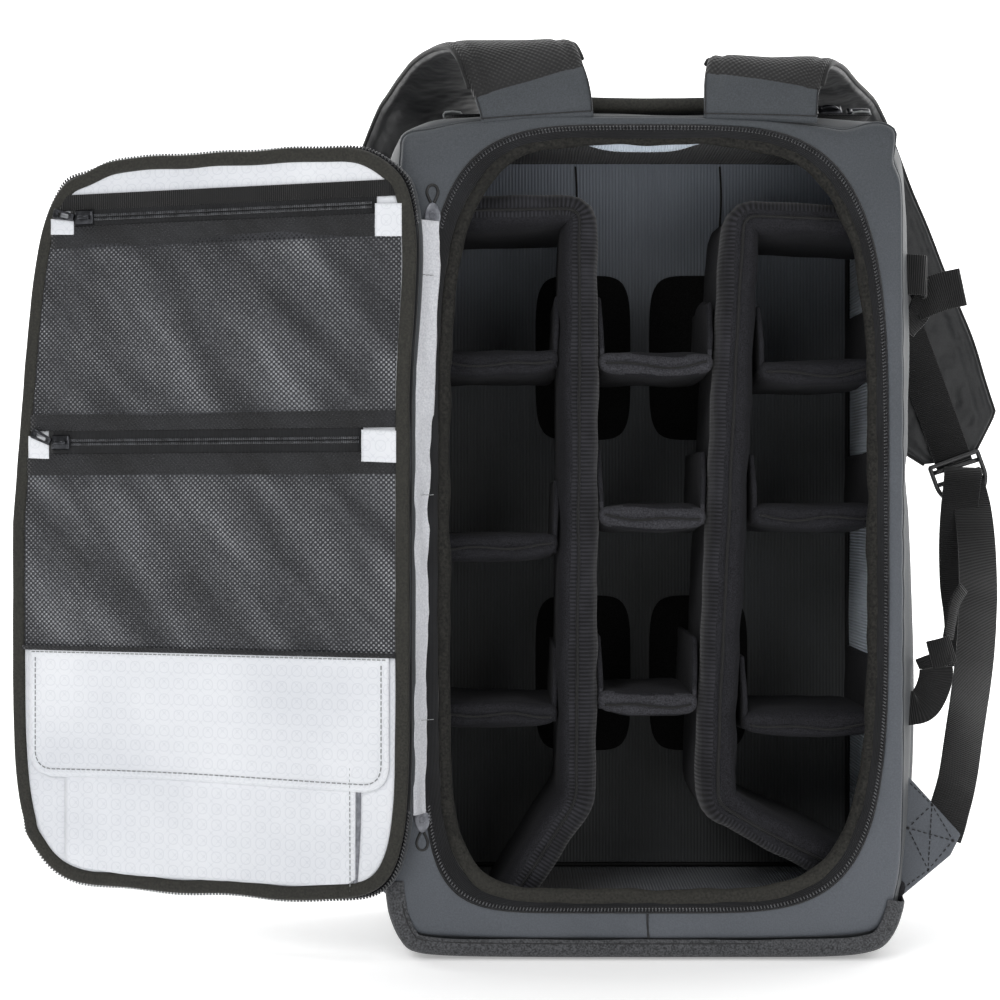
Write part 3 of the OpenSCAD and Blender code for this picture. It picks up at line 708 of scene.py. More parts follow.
def body_outline(y):
    """Outline of the pack at depth y, on the same rays as the zip line."""
    Q = on_rays(round_rect(-HALF_WIDTH, 0, HALF_WIDTH, 500, 30, 600), zip_line(0, N), CENTRE)
    swell = smooth(-84, -52, y) * (1 - smooth(30, 74, y))
    x, z = Q[:, 0].copy(), Q[:, 1].copy()
    near_side = smooth(120, 152, np.abs(x))
    reach = (side_reach(z) - HALF_WIDTH) * np.where(x > 0, 1, 0.6)
    Q[:, 0] += np.sign(x) * near_side * reach * swell
    top = smooth(470, 500, z)
    Q[:, 1] += top * (1.5 * np.cos(x / 45) - 2.0 * smooth(100, 140, np.abs(x))) * swell
    return Q


def shell():
    """The face round the opening and the panels behind it, with their seams."""
    inner, outer = zip_line(-0.2, N), face_outer()
    across = (
        (0, -90.2), (0.04, -90.6), (0.15, -91.0), (0.4, -91.3), (0.65, FACE_Y), (0.82, -91.0), (0.93, -90.0),
        (0.98, -88.2), (1.0, -85.6),
    )
    P = arr([at_y(inner + (outer - inner) * v, y) for v, y in across])
    steps = np.linspace(0, 1, len(P))[:, None]
    soft = np.clip(steps * 1.6, 0, 1) * bumps(P, (40, 30, 40), 1)
    P[..., 1] += 0.7 * soft + 0.35
    for x, z, turn, run, wide, deep in FACE_FOLDS:
        c, n = math.cos(math.radians(turn)), math.sin(math.radians(turn))
        a, b = (P[..., 0] - x) * c + (P[..., 2] - z) * n, (P[..., 2] - z) * c - (P[..., 0] - x) * n
        P[..., 1] -= 1.5 * deep * np.exp(-((a / run) ** 2) - (b / wide) ** 2) * np.clip(steps * 5, 0, 1)
    P[..., 0] += 0.5 * bumps(P, 55, 2)
    piece("face_panel", Shape().grid(P, close_v=True), PACK, "bag", ["back_frame"], subdivide=1)
    seam = arr([(-0.4 + 0.4 * math.sin(z / 5), -91.2, z) for z in np.linspace(12.5, 27, 12)])
    piece("face_foot_seam", Shape().rod(seam, EX, 0.6, 0.5), DARK_THREAD, "bag")
    line = along(at_y(outer, -85.4), 420, True)
    line[:, 1] += 0.5 * bumps(line, 26, 2)
    side = unit(line - arr([CENTRE[0], -85.4, CENTRE[1]]))
    piece("face_seam", Shape().rod(line, side, 0.9, 1.1, closed=True), PACK_SHADED, "bag")

    rows = [at_y(outer, -84.2)]
    # depth, share of the way from the face's edge to the body's outline, how far outwards
    mids = [(-83, 0.05, 1.3), (-79, 0.25, 1.0), (-72, 0.6, 0), (-62, 0.9, 0)]
    mids += [(y, 1, 0) for y in (-50, -34, -16, 4, 24, 44, 58)]
    mids += [(67, 1, -1.5), (73, 1, -5), (76, 1, -11), (77.5, 1, -24)]
    for y, mix, grow in mids:
        Q = outer + (body_outline(y) - outer) * mix
        rows.append(at_y(Q + unit(Q - arr(CENTRE)) * grow, y))
    back = from_axis(rows[-1])
    rows += [(CENTRE[0], 77.5 + 1.5 * (1 - k), CENTRE[1]) + back * k for k in (0.75, 0.5, 0.25, 0.05, 0.002)]
    P = arr(rows)
    w = np.ones(len(rows))
    w[:2] = 0.2
    d = bumps(P, (70, 50, 60), 3) * 1.3 + bumps(P, (24, 40, 30), 4) * 0.5
    out = from_axis(P)
    P += unit(out) * (d * w[:, None] * smooth(4, 30, np.linalg.norm(out, axis=-1)))[..., None]
    P[..., 2] = np.maximum(P[..., 2], 1.0)
    nodes = ["top_panel", "side_panel_left", "side_panel_right", "front_panel"]
    piece("outer_panels", Shape().grid(P, close_v=True), PACK_SHADED, "bag", nodes, subdivide=1)
    up = np.where(P[13, :, 2] > 46)[0]
    line = along(P[13][np.roll(up, -int(np.argmax(np.diff(up))) - 1)], 400)
    piece("outer_seam", Shape().rod(line, EY, 1.3, 1.3), PIPING, "bag")


def boot():
    """The reinforced cover round the foot of the pack."""
    edge = spline(
        [
            (-154.3, 40), (-151.5, 24), (-145, 10), (-136, 3.5), (-110, 1.2), (-60, 0.6), (0, 0.5), (60, 0.6),
            (110, 1.2), (131, 4), (140, 9), (146, 18), (150, 29),
        ],
        7,
    )
    edge = along(np.concatenate([[(-154.5, 46)], edge, [(150.8, 34)]]), 180)
    w = 154.6
    mid = rounded_path([(-w, 40), (-w, 0.2), (w, 0.2), (w, 32)], 30, 14)
    mid = along(np.concatenate([[(-w, 46)], mid, [(w, 34)]]), 180)
    t = heading(edge)
    inward = np.stack([-t[:, 1], t[:, 0]], 1)
    near = ((-90.9, 11.5), (-91.5, 10.4), (-91.5, 7), (-90.6, 3), (-88, 0.8), (-83, 0))
    rows = [at_y(edge + inward * inset, y) for y, inset in near]
    rows += [at_y(edge + (mid - edge) * smooth(-83, -50, y), y) for y in (-72, -55, -35, -10, 15, 40, 60)]
    rows += [at_y(mid + inward * inset, y) for y, inset in ((70, 1.2), (76, 5), (78, 10), (78.6, 20))]
    P = arr(rows)
    P[..., 0] += 0.5 * bumps(P, 40, 6)
    P[..., 1] += 0.5 * bumps(P, 30, 5)
    low = P[:, :, 2] < 9
    P[..., 2] = np.where(low, np.maximum(P[..., 2], 0.6), P[..., 2] + 0.6 * bumps(P, 30, 7))
    xs, zs = np.linspace(-140, 140, 40), np.linspace(10, 46, 6)
    back = arr([[(x, 78.6 + 0.6 * math.sin(x / 40), z) for x in xs] for z in zs])
    piece("boot_cover", Shape().grid(P).grid(back), BOOT, "bag", ["base_boot"], thick=1.0, subdivide=1)
    C = along(at_y(edge[8:-8] + inward[8:-8] * 9.2, -91.5), 190)
    piece("boot_stitches", Shape().bars(C, heading(C), -EY, (2.4, 0.7, 0.5)), DARK_THREAD, "bag")


def zip_teeth(name, line, d, n, y, up, size, body):
    """Teeth of the main zip, left out where it would run along the hinge."""
    C = at_y(line(d, n), y)
    T = at_y(line(0, n), 0) - at_y(line(3, n), 0)
    keep = ~((C[:, 0] < -100) & (C[:, 2] > 90) & (C[:, 2] < 428))
    piece(name, Shape().bars(C[keep], T[keep], up, size), TEETH, body, flat=True)


def main_opening():
    """Zip tape, teeth and the rolled binding round the opening."""
    across = ((-0.6, -90.2), (0.2, TAPE_Y), (3.2, TAPE_Y), (5.5, -90.3), (8, -89.2), (9.0, -88.0))
    P = arr([at_y(zip_line(d, 400), y) for d, y in across])
    piece("zip_tape_body", Shape().grid(P, close_v=True), TAPE, "bag", ["main_zip"], thick=0.8)
    zip_teeth("zip_teeth_body", zip_line, 1.5, 660, -91.0, -EY, (2.3, 1.1, 0.85), "bag")
    Q, Q2 = zip_line(8.2, 420), zip_line(12.0, 420)
    hinge_side = smooth(-70, -112, Q[:, 0])[:, None]
    line = at_y(Q + (Q2 - Q) * hinge_side, -88.2)
    thin = 1 - 0.24 * smooth(40, 90, line[:, 2]) - 0.2 * smooth(470, 480, line[:, 2]) * hill(line[:, 0], -4, 42)
    sec = ring_section(4.9, 3.4, 14) * (thin * (1 + 0.2 * bumps(line, 15, 8)))[:, None, None]
    line[:, 0] += 1.0 * bumps(line, 20, 9)
    line[:, 2] += 1.0 * bumps(line, 20, 10)
    side = unit(at_y(zip_line(0, 420), 0) - at_y(zip_line(20, 420), 0))
    P = sweep(line, side, sec, True)
    P[..., 1] = np.maximum(P[..., 1], -91.6)
    piece("opening_roll", Shape().grid(P, close_u=True, close_v=True), ROLL, "bag", ["opening_binding"])
    room = on_rays(round_rect(-141, 30, 141, 488, 24, 600), zip_line(0, N), CENTRE)
    start = zip_line(9, N) + (zip_line(14, N) - zip_line(9, N)) * smooth(-70, -112, zip_line(9, N)[:, :1])
    # depth, share of the way from the opening to the compartment's own outline
    inwards = [(-88, 0), (-85, 0.05), (-81, 0.45), (-77, 0.85)]
    inwards += [(y, 1) for y in (-70, -50, -25, 0, 25, 42)] + [(50, 0.995), (51.8, 0.97)]
    P = arr([at_y(start + (room - start) * k, y) for y, k in inwards])
    out = from_axis(P)
    P[..., 0] -= 1.2 * smooth(120, 138, P[..., 0]) * smooth(-10, 48, P[..., 1]) * hill(P[..., 2], 197, 36)
    # the padding bulges out under the top of the opening
    P[..., 2] -= 12 * smooth(465, 474, P[..., 2]) * hill(P[..., 0], -4, 36, 4) * hill(P[..., 1], -79, 5)
    dent = 2.2 * np.abs(bumps(P, (60, 45, 50), 11)) * smooth(-85, -60, P[..., 1]) * (1 - smooth(35, 50, P[..., 1]))
    P -= unit(out) * dent[..., None]
    s = Shape().grid(P.transpose(1, 0, 2)[::-1], close_u=True)
    nodes = ["padding_left", "padding_right", "padding_ends"]
    piece("wall_lining", s, WALL, "bag", nodes, subdivide=1)
    X, Z = np.meshgrid(np.linspace(-141, 141, 70), np.linspace(30, 488, 110))
    P = np.stack([X, np.full_like(X, FLOOR_Y), Z], -1)
    P[..., 1] -= 0.9 * np.abs(bumps(P, 45, 12)) * smooth(0, 20, 141 - np.abs(X))
    piece("floor_panel", Shape().grid(P), FLOOR, "bag", ["padding_floor", "laptop_sleeve"])
    path = round_rect(-139, 32, 139, 486, 22, 220)
    path = np.roll(path, -int(np.argmax(path[:, 1] + path[:, 0] * 0.01)), 0)
    path = at_y(path[path[:, 1] < 474], 50.6)
    piece("floor_seam", Shape().rod(path, EY, 1.6, 1.6), PIPING, "bag")
    for k, x in enumerate((-37.5, 56.3)):
        path = arr([(x + 0.6 * math.sin(z / 9), 50.9, z) for z in np.linspace(444, 486, 16)])
        piece(f"floor_crease_{k + 1}", Shape().rod(path, EX, 0.6, 0.5), BINDING, "bag")
    s = Shape()
    for x0, x1 in ((-64, -2), (10, 74)):
        for z0, z1 in ((308, 415), (106, 207)):
            s.plate((x0, 50.2, z0), (x1, 52.2, z1), 0.9, (20, 3, 26))
    piece("floor_loop_patches", s, FUZZ, "bag", ["loop_patches"], weld=0.05)


def corner_trim(P, c, h, p):
    """Rounds a rectangle's outline in X and Z to a superellipse."""
    q = np.stack([(P[..., 0] - c[0]) / h[0], (P[..., 2] - c[1]) / h[1]], -1)
    m = np.abs(q).max(-1)
    r = (np.abs(q) ** p).sum(-1) ** (1 / p)
    k = np.where(r > 1e-6, m / np.maximum(r, 1e-6), 1)
    P = P.copy()
    P[..., 0], P[..., 2] = c[0] + q[..., 0] * k * h[0], c[1] + q[..., 1] * k * h[1]
    return P


# ---------------------------------------------------------------- dividers


def long_divider(name, points, node, seed, sign):
    """Padded wall standing on its edge along points (X, Z). Its side of that sign has ribs near the opening."""
    path = along(rounded_path(points, 8, 6), 170)
    y0, y1 = -73.6, 49.2
    cy, hy, ht = (y0 + y1) / 2, (y1 - y0) / 2, 10.2
    a = np.linspace(0, 2 * np.pi, 60, endpoint=False)
    sec = np.stack([ht * power(np.sin(a), 0.42), cy + hy * power(np.cos(a), 0.24)], 1)
    line = at_y(path, 0)
    tan = heading(line)
    nrm = np.cross(tan, EY)
    near = smooth(-30, -72, sec[:, 1])
    P = line[:, None] + nrm[:, None] * (sec[None, :, :1] * (1 + 0.06 * near[None, :, None]))
    P[..., 1] = sec[None, :, 1]
    wob = bumps(P, (17, 40, 21), seed) * 1.7 + bumps(P, (60, 90, 70), seed + 1) * 1.4
    P += nrm[:, None] * (wob * (0.3 + 0.7 * near[None]))[..., None] * np.tanh(sec[:, 0] / 3)[None, :, None] * 0.8
    P[..., 1] += (1.7 * bumps(P, (12, 200, 12), seed + 2) + 1.6 * (np.abs(sec[None, :, 0]) / ht) ** 2
        - 0.9) * near[None]
    P[..., 1] = np.clip(P[..., 1], -75.9, 50.5)
    s = Shape().grid(P, close_v=True, caps=True)
    for k in range(len(s.f) - 2):
        n, y = sec[k % 60]
        if y < -58 and n * sign > 0:
            s.m[k] = 1
    obj = piece(name, s, [DIVIDER, DIVIDER_RIBS], "bag", [node])
    seam = at_y(path, -74.9)
    seam[:, 0] += nrm[:, 0] * 0.8 * bumps(seam, 30, seed)
    seam[:, 1] += 0.8 * bumps(seam, (12, 200, 12), seed + 2)
    seam = piece(name + "_binding", Shape().rod(seam[2:-2], EY, 0.8, 0.9), PIPING, "bag")
    puff(obj, 6.0, 1.8, (0.6, 0.7, 0.6), 0.06, also=[seam])


LEFT = [(-149, 438), (-40, 440), (-41, 92), (-90, 20)]
RIGHT = [(149, 432), (57, 436), (41, 90), (150, 32)]
ROWS = {"left": (352, 241, 141), "middle": (351, 259, 148), "right": (346, 259, 136)}


def short_divider(side, i, z):
    """Short padded shelf at height z between the walls, with a hook flap bent up at each end."""
    node = f"divider_{side}_{i}"
    lo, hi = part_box(node)
    x0, x1 = lo.x * 1000, hi.x * 1000
    y0, y1 = -68, 47.5
    seed = i * 3 + len(side)

    def warp(P):
        u = np.clip((P[..., 0] - (x0 + x1) / 2) / ((x1 - x0) / 2), -1, 1)
        near = smooth(0, y0, P[..., 1])
        P = P.copy()
        P[..., 2] += 2.4 * u**2 * near - 1.2 + 1.6 * bumps(P, (24, 50, 60),
            seed) - 1.3 * near * np.sign(P[..., 2] - z) * u**4
        P[..., 1] += near * (3.4 * (1 - u**2) - 0.5) + near * 1.3 * bumps(P, 11, seed + 1)
        return P

    s = Shape().pad((x0 + 1.0, y0, z - 6.4), (x1 - 1.0, y1, z + 6.4), 5.2, (22, 24, 6), 0.12, warp=warp)
    for xa, xb, d in ((x0 + 0.1, x0 + 3.4, 1), (x1 - 3.4, x1 - 0.1, -1)):
        def bend(P):
            P = P.copy()
            t = smooth(z + 2, z + 38, P[..., 2])
            P[..., 0] += d * 1.2 * (1 - t) + 0.4 * bumps(P, 20, seed + 4)
            P[..., 1] += 9 * smooth(z + 18, z + 40, P[..., 2]) * smooth(-20, -62, P[..., 1])
            return P
        s.pad((xa, y0 + 5, z - 4), (xb, y1, z + 39), 1.5, (3, 16, 14), warp=bend)
    V = np.concatenate(s.v)
    s.m = [int(side == "middle" and all(V[k, 1] < y0 + 6 and abs(V[k, 2] - z) < 9 for k in f)) for f in s.f]
    obj = piece(f"short_divider_{side}_{i}", s, [DIVIDER, DIVIDER_EDGE], node, [node], weld=0.02)
    x = np.linspace(x0 + 5, x1 - 5, 34)
    bow = ((2 * x - x0 - x1) / (x1 - x0)) ** 2
    C = np.stack([x, y0 - 1.4 + 3.4 * (1 - bow), z - 1.6 + 2.4 * bow + np.sin(x / 7 + seed)], 1)
    seam = piece(f"short_divider_seam_{side}_{i}", Shape().rod(C, EY, 0.8, 0.7), PIPING, node)
    puff(obj, 4.5, 1.8, (0.1, 0.9, 1), 0.07, also=[seam])


# ---------------------------------------------------------------- straps and webbing

STRAP_R = [(65.5, -89.2, 490.5), (65.8, -88.6, 501), (66.5, -86, 513), (72, -74, 526), (83, -48, 530), (99, 0, 530),
    (124, 62, 524), (149, 102, 490), (170, 112, 445), (198, 114, 372), (219, 114, 298)]
STRAP_L = [(-65, -89.2, 490.5), (-66, -88.6, 501), (-70, -86, 514), (-78, -74, 533.5), (-90, -48, 540.5),
    (-109, 0, 538), (-130, 62, 524), (-149, 102, 490), (-170, 112, 445), (-198, 114, 372), (-219, 114, 298)]


def strap(name, points, lean, node, seed):
    """Padded shoulder strap along points, turning lean degrees about its own line towards its end."""
    path = along(spline(points, 10), 120)
    total = length_of(path)
    s = np.linspace(0, total, 120)
    a = np.radians(lean) * np.clip((s / total - 0.42) / 0.35, 0, 1)
    side = np.stack([np.cos(a), np.zeros_like(a), np.sin(a)], 1)
    half = 34 + 1.0 * np.sin(s / 60)
    half *= np.interp(s, [0, 18, 50, total - 120, total - 22, total], [0.97, 0.98, 1, 1, 1.06, 0.5])
    thick = 5.2 * np.interp(s, [0, 5, 14, 30, total - 12, total], [0.12, 0.3, 0.6, 1, 1, 0.55])
    prof = np.stack([power(np.cos(turns(40)), 0.45), power(np.sin(turns(40)), 0.7)], 1)
    sec = prof * np.stack([half, thick], 1)[:, None]
    sec[..., 1] *= 1 - 0.28 * np.exp(-((np.abs(prof[None, :, 0]) - 0.8) ** 2) / 0.004)
    P = sweep(path, side, sec)
    P += 0.9 * (bumps(P, (40, 40, 40), seed) * 1.2)[..., None] * unit(P - path[:, None])
    mesh = Shape()
    # pack cloth over the root, then smooth cloth on one side and mesh on the side that lies on the shoulder
    n = P.shape[1]
    mesh.grid(P[:7], close_v=True, mat=2)
    mesh.add(P[0], [list(range(n))], [[(0, 0)] * n], 2)
    mesh.grid(P[6:, :20], mat=0)
    mesh.grid(np.concatenate([P[6:, 19:], P[6:, :1]], 1), mat=1)
    end = np.concatenate([P[-1], [P[-1].mean(0) + unit(path[-1] - path[-2]) * 3]])
    mesh.add(end, [[k, (k + 1) % n, n] for k in range(n)], [[(0, 0)] * 3] * n, 1)
    obj = piece(name, mesh, [STRAP_SHEEN, AIR_MESH, PACK], "bag", [node], weld=0.02)
    row = P[1:7, :21] if P[3, 10, 1] < P[3, 30, 1] else P[1:7, [0] + list(range(39, 19, -1))]
    C = along(np.concatenate([row[::-1, 2], row[0, 3:18], row[:, 18]]), 60) + (0, -0.5, 0)
    piece(name + "_stitches", Shape().bars(C, heading(C), -EY, (2.2, 0.6, 0.4)), DARK_THREAD, "bag")
    for tag, k in (("b", 20), ("a", 0)):
        out = unit(P[8:, k] - path[8:])
        piece(f"{name}_piping_{tag}", Shape().rod(P[8:, k] + out * 0.4, out, 1.5, 1.5), PIPING, "bag")


def flat_band(name, path, side, w, t, mat, body="bag", replaces=(), wave=0.0, seed=0):
    """Webbing or tape of width w and thickness t along path, its width lying along side."""
    path = arr(path)
    top = [(w / 2, t * 0.28), (w / 2 - 0.5, t / 2), (0, t / 2 + 0.05), (0.5 - w / 2, t / 2), (-w / 2, t * 0.28)]
    P = sweep(path, side, top + [(-a, -b) for a, b in top])
    if wave:
        lift = np.cross(heading(path), np.broadcast_to(arr(side), path.shape))
        P = P + (wave * bumps(path, 22, seed)[:, None] * lift)[:, None]
    return piece(name, Shape().grid(P, close_v=True, caps=True), mat, body, replaces)


def mirror_x(P):
    """The same points on the other side of the pack."""
    Q = arr(P).copy()
    Q[..., 0] *= -1
    return Q


def straps():
    """Both shoulder straps with their webbing, locks and wings. The left side mirrors the right one."""
    strap("strap_pad_right", STRAP_R, 20, "shoulder_strap_right", 20)
    strap("strap_pad_left", STRAP_L, -20, "shoulder_strap_left", 24)
    end, lean = arr([219, 114, 298]), math.radians(20)
    down = arr([math.sin(lean), 0, -math.cos(lean)])
    across = arr([math.cos(lean), 0, math.sin(lean)])
    web = [(177.5, -58.6, 67), (182.5, -57.6, 82), (189, -50, 101), (198.6, -30, 132), (213, 12, 166), (224, 50, 203),
        (230, 80, 235), (231, 97, 262), (229, 103.5, 276), (225.5, 105.6, 288)]
    tail = [(225.5, 104.2, 290), (225, 101, 286), (224, 99, 278), (221, 97, 250), (221, 96, 215), (224, 95, 185),
        (223, 95, 157)]
    for tag, flip in (("right", arr), ("left", mirror_x)):
        sewn = [end + down * d + (0, y, 0) for d, y in ((-105, -7.4), (-60, -7.8), (-20, -7.6), (6, -7.2))]
        flat_band(f"strap_webbing_{tag}", flip(spline(sewn, 8)), flip(across), 25, 1.8, WEBBING,
            replaces=["strap_webbing"], wave=0.5, seed=31)
        path = flip(along(spline(web, 10), 90))
        t = np.linspace(0, 1, 90)[:, None] ** 0.7
        sides = flip(arr([0.57, 0, -0.82]) * (1 - t) + arr([1, 0, 0.1]) * t)
        flat_band(f"lower_web_{tag}", path, sides, 25, 1.7, WEBBING, replaces=[f"lower_webbing_{tag}"], wave=1.2,
            seed=33)
        path = flip(along(spline(tail, 8), 60))
        flat_band(f"web_tail_{tag}", path, flip(arr([1, 0, 0.05])), 25, 1.7, WEBBING, wave=1.4, seed=36)
        ladder_lock(f"ladder_lock_{tag}", end, across, down, flip)
        wing(f"wing_{tag}", flip)


def ladder_lock(name, end, across, down, flip):
    """Round-bottomed frame with two slanted bars."""
    c = end + down * 12 + arr([0, -9.3, 0])
    place = lambda x, z, y: c + across * x - down * z + arr([0, y, 0])
    r = 17
    foot = [(r * math.cos(a), -3 + r * math.sin(a)) for a in np.radians(np.linspace(185, 355, 16))]
    rim = [(-r, 10), (-r, -2), *foot, (r, -2), (r, 10), (r, 10.2), (-r, 10.2)]
    rim = along(rounded_path(rim, 0.2, 2), 90)
    s = Shape().rod(flip([place(x, z, 0) for x, z in rim]), EY, 1.4, 1.5, 10, 3.0, closed=True)
    for z0, z1, y in ((6, 4.5, 0.6), (-2.6, -4.0, -1.2), (-9, -9.6, 0.4)):
        half = 15.5 if z0 > -5 else 13
        bar = flip([place(x, z0 + (z1 - z0) * (x / half + 1) / 2, y) for x in np.linspace(-half, half, 10)])
        s.rod(bar, EY, 1.3, 1.6, 8, 3.0)
    piece(name, s, PLASTIC, "bag", ["ladder_locks"] if "right" in name else [])


def wing(name, flip):
    """Stitched triangle of pack cloth with the webbing sewn into its tip."""
    t, k = np.linspace(0, 1, 12)[:, None, None], np.linspace(0, 1, 14)[:, None]
    top, low = arr([150, 112.5]) * (1 - t) + arr([189.5, 68.5]) * t, arr([150, 28]) * (1 - t) + arr([183.5, 56.5]) * t
    Q = top + (low - top) * k
    P = np.stack([Q[..., 0], np.full(Q.shape[:2], -58.6), Q[..., 1]], -1)
    P[..., 1] += 0.8 * bumps(P, 24, 40)
    piece(name, Shape().grid(flip(P)), PACK, "bag", ["strap_wings"] if "right" in name else [],
        thick=2.6, subdivide=1)
    s = Shape()
    upper, top, right, bottom, left, lower = arr(
        [(152, 106), (171.8, 86.5), (184.3, 65), (169.4, 47.5), (157.4, 72.5), (152, 34.5)]
    )
    # round the triangle, then the box with its cross near the tip
    lines = (upper, top), (top, right), (right, bottom), (bottom, lower)
    lines += (bottom, left), (left, top), (top, bottom), (left, right)
    for p, q in lines:
        C = flip(at_y(along(arr([p, q]), max(3, int(np.hypot(*(p - q)) / 3))), -60.1))
        s.bars(C, C[-1] - C[0], -EY, (2.0, 0.6, 0.45))
    piece(name + "_stitches", s, DARK_THREAD, "bag")


def side_straps():
    """The compression straps and the stretch pocket on the right side."""
    s = [(150, -61, 404), (158, -61.2, 404), (167, -60.5, 403.5), (169, -55, 403), (168, -49, 402)]
    flat_band("side_web_upper", along(spline(s, 8), 40), EZ, 24, 1.7, WEBBING, replaces=["side_strap_upper"],
        wave=0.4, seed=41)
    Q = spline([(163, -48, 388), (172, -48.5, 392), (182, -48, 395.5), (193, -47, 398)], 6)
    flat_band("side_tab_upper", Q, (0.05, 0, 1), 23, 2.0, WEBBING, wave=0.8, seed=42)
    Q = spline([(168.5, -49, 402), (169.5, -48.6, 392), (165.5, -48.2, 381), (158.5, -48, 372)], 8)
    flat_band("side_web_fold", Q, (0.75, 0.1, 0.6), 15, 1.6, WEBBING, wave=0.5, seed=47)
    s = [(150, -63.5, 144.5), (158, -63.6, 144.6), (166, -63.4, 147), (172, -62.4, 157), (174, -61.4, 168),
        (171, -60.4, 177)]
    flat_band("side_web_lower", along(spline(s, 8), 50), (-0.15, 0.1, 1), 20, 1.7, WEBBING,
        replaces=["side_strap_lower"], wave=0.4, seed=43)
    Q = spline([(170, -61.2, 176), (178, -61.5, 178), (184, -60, 180)], 6)
    flat_band("side_tab_lower", Q, (0.1, 0, 1), 17, 2.2, WEBBING, wave=0.5, seed=44)
    Q = spline([(182, -57, 186), (184, -55, 196), (187, -53, 207), (193, -50, 216)], 6)
    flat_band("side_web_loop", Q, (0.75, 0.6, -0.25), 9, 1.6, WEBBING, wave=0.4, seed=45)
    reach = (
        (62, 155), (66, 160), (90, 163), (130, 164.8), (170, 165.2), (205, 163.8), (228, 162.6), (231.5, 162.8),
        (232.5, 161.8), (231.5, 160.9),
    )
    P = arr([[(x - 9 * abs(2 * t - 1) ** 6, -57 + 98 * t, z) for t in np.linspace(0, 1, 26)] for z, x in reach])
    P[..., 0] += 0.9 * bumps(P, 28, 46)
    piece("side_pocket", Shape().grid(P), PACK_SHADED, "bag", ["side_pocket_right"], thick=1.4,
        subdivide=1)


# ---------------------------------------------------------------- top zip and handle


def slider_body(s, place, k=1.0):
    """Zip slider at the origin of place(x, y, z): x along the chain, z up from the tape."""
    plate = [(-6, 0.9), (-4.6, 0.9), (0, 0.95), (4.6, 0.9), (6, 0.9)]
    bridge = [(-4.2, 1.4), (-3.2, 2.9), (-1, 3.5), (2, 3.3), (4, 2.2), (4.4, 1.4)]
    side = arr(place(0, 1, 0)) - arr(place(0, 0, 0))
    for points, half, thick in ((plate, 4.4, 0.8), (bridge, 1.3, 0.55)):
        s.rod([place(x * k, 0, z) for x, z in points], side, half * k, thick, square=3.0)
    return s


def pull_tab(s, place, length, w, z=1.4):
    """Slotted pull that starts at place's origin and lies along +x."""
    o, ex, ey, ez = (arr(place(*p)) for p in ((0, 0, 0), EX, EY, EZ))

    def outline(a, b, x0, x1):
        half = [(x0, 0), (x0, b), (x1 - b * 0.2, a), (x1, a * 0.6)]
        return along(rounded_path(half + [(x, -y) for x, y in half[::-1]], 0.8, 4), 48)

    big, hole = outline(w, w * 0.72, 0.7, length), outline(w * 0.42, w * 0.4, 4.0, length - 3.4)
    small, rim = big * (0.98, 0.9), 0.75
    rows = [
        o + q[:, :1] * (ex - o) + q[:, 1:] * (ey - o) + (z + h) * (ez - o)
        for q, h in ((hole, -rim), (small, -rim), (big, -0.3), (big, 0.3), (small, rim), (hole, rim))
    ]
    return s.grid(arr(rows), close_u=True, close_v=True)


def top_fittings():
    """The top compartment's zip with its slider and pull, and the grab handle."""
    y0, z0 = -45, 500.4
    path = [(x, y0, z0 + 0.9 + 0.96 * math.cos(x / 45)) for x in np.linspace(-116, 136, 60)]
    flat_band("top_zip_tape", path, EY, 22, 1.0, TAPE, replaces=["top_zip"])
    C = arr([(x, y0, z0 + 1.5 + 1.0 * math.cos(x / 45)) for x in np.arange(-106, 126, 2.0)])
    piece("top_zip_teeth", Shape().bars(C, EY, EZ, (3.6, 1.2, 0.9)), TEETH, "bag", flat=True)
    for k, x in enumerate((-115.5, 131)):
        Q = [(x + d, y0, z0 + h) for d, h in ((-5.5, 0.8), (-4.5, 2.4), (0, 2.9), (4.5, 2.4), (5.5, 0.8))]
        flat_band(f"top_zip_end_{k + 1}", Q, EY, 14, 1.4, THREAD)
    # both tilt towards the wearer about the zip
    at = lambda x, y, z: (x, y0 + 0.8 * y - 0.6 * z, z0 + 0.6 * y + 0.8 * z)
    s = slider_body(Shape(), lambda x, y, z: at(112.6 + x, y, z) + 4.2 * EZ, 1.2)
    piece("top_zip_slider", s, METAL, "top_slider", ["top_slider"])
    s = pull_tab(Shape(), lambda x, y, z: at(122.4 + 0.99 * x, y, z) + (3.1 - 0.03 * x) * EZ, 15.0, 3.6)
    piece("top_zip_pull", s, METAL, "top_pull", ["top_pull"])
    grip = [
        (-50, -67, 505), (-34, -61, 505.4), (-12, -57.5, 505.9), (12, -57.5, 505.7), (34, -61, 505.2), (50, -67, 505),
    ]
    P = sweep(along(spline(grip, 10), 70), EY, ring_section(4.5, 4.6, 16, 2.6))
    P[..., 2] = np.clip(P[..., 2] + 0.5 * bumps(P, 18, 50), 500.9, 511)
    obj = piece("handle_pad", Shape().grid(P, close_v=True, caps=True), BINDING, "grab_handle",
        ["grab_handle"])


# ---------------------------------------------------------------- main sliders


def shield(x, z, d, y, depth):
    """Rounded slider body about (x, z), its narrow end pointing along Z for d = 1 and against it for d = -1."""
    side = [(2.6, 5.4), (4.6, 1.2), (4.8, -3.2), (3.2, -4.8)]
    q = [(0, 7.2), *side, *((-a, b) for a, b in side[::-1])]
    q = along(spline(q, 5, True), 40, True) * (1, d)
    rows = [
        at_y(q * k + (x, z), y + h)
        for k, h in ((1, depth), (1, 0.5), (0.94, 0.1), (0.8, -0.05), (0.45, 0.0), (0.02, 0.0))
    ]
    return Shape().grid(arr(rows), close_v=True)


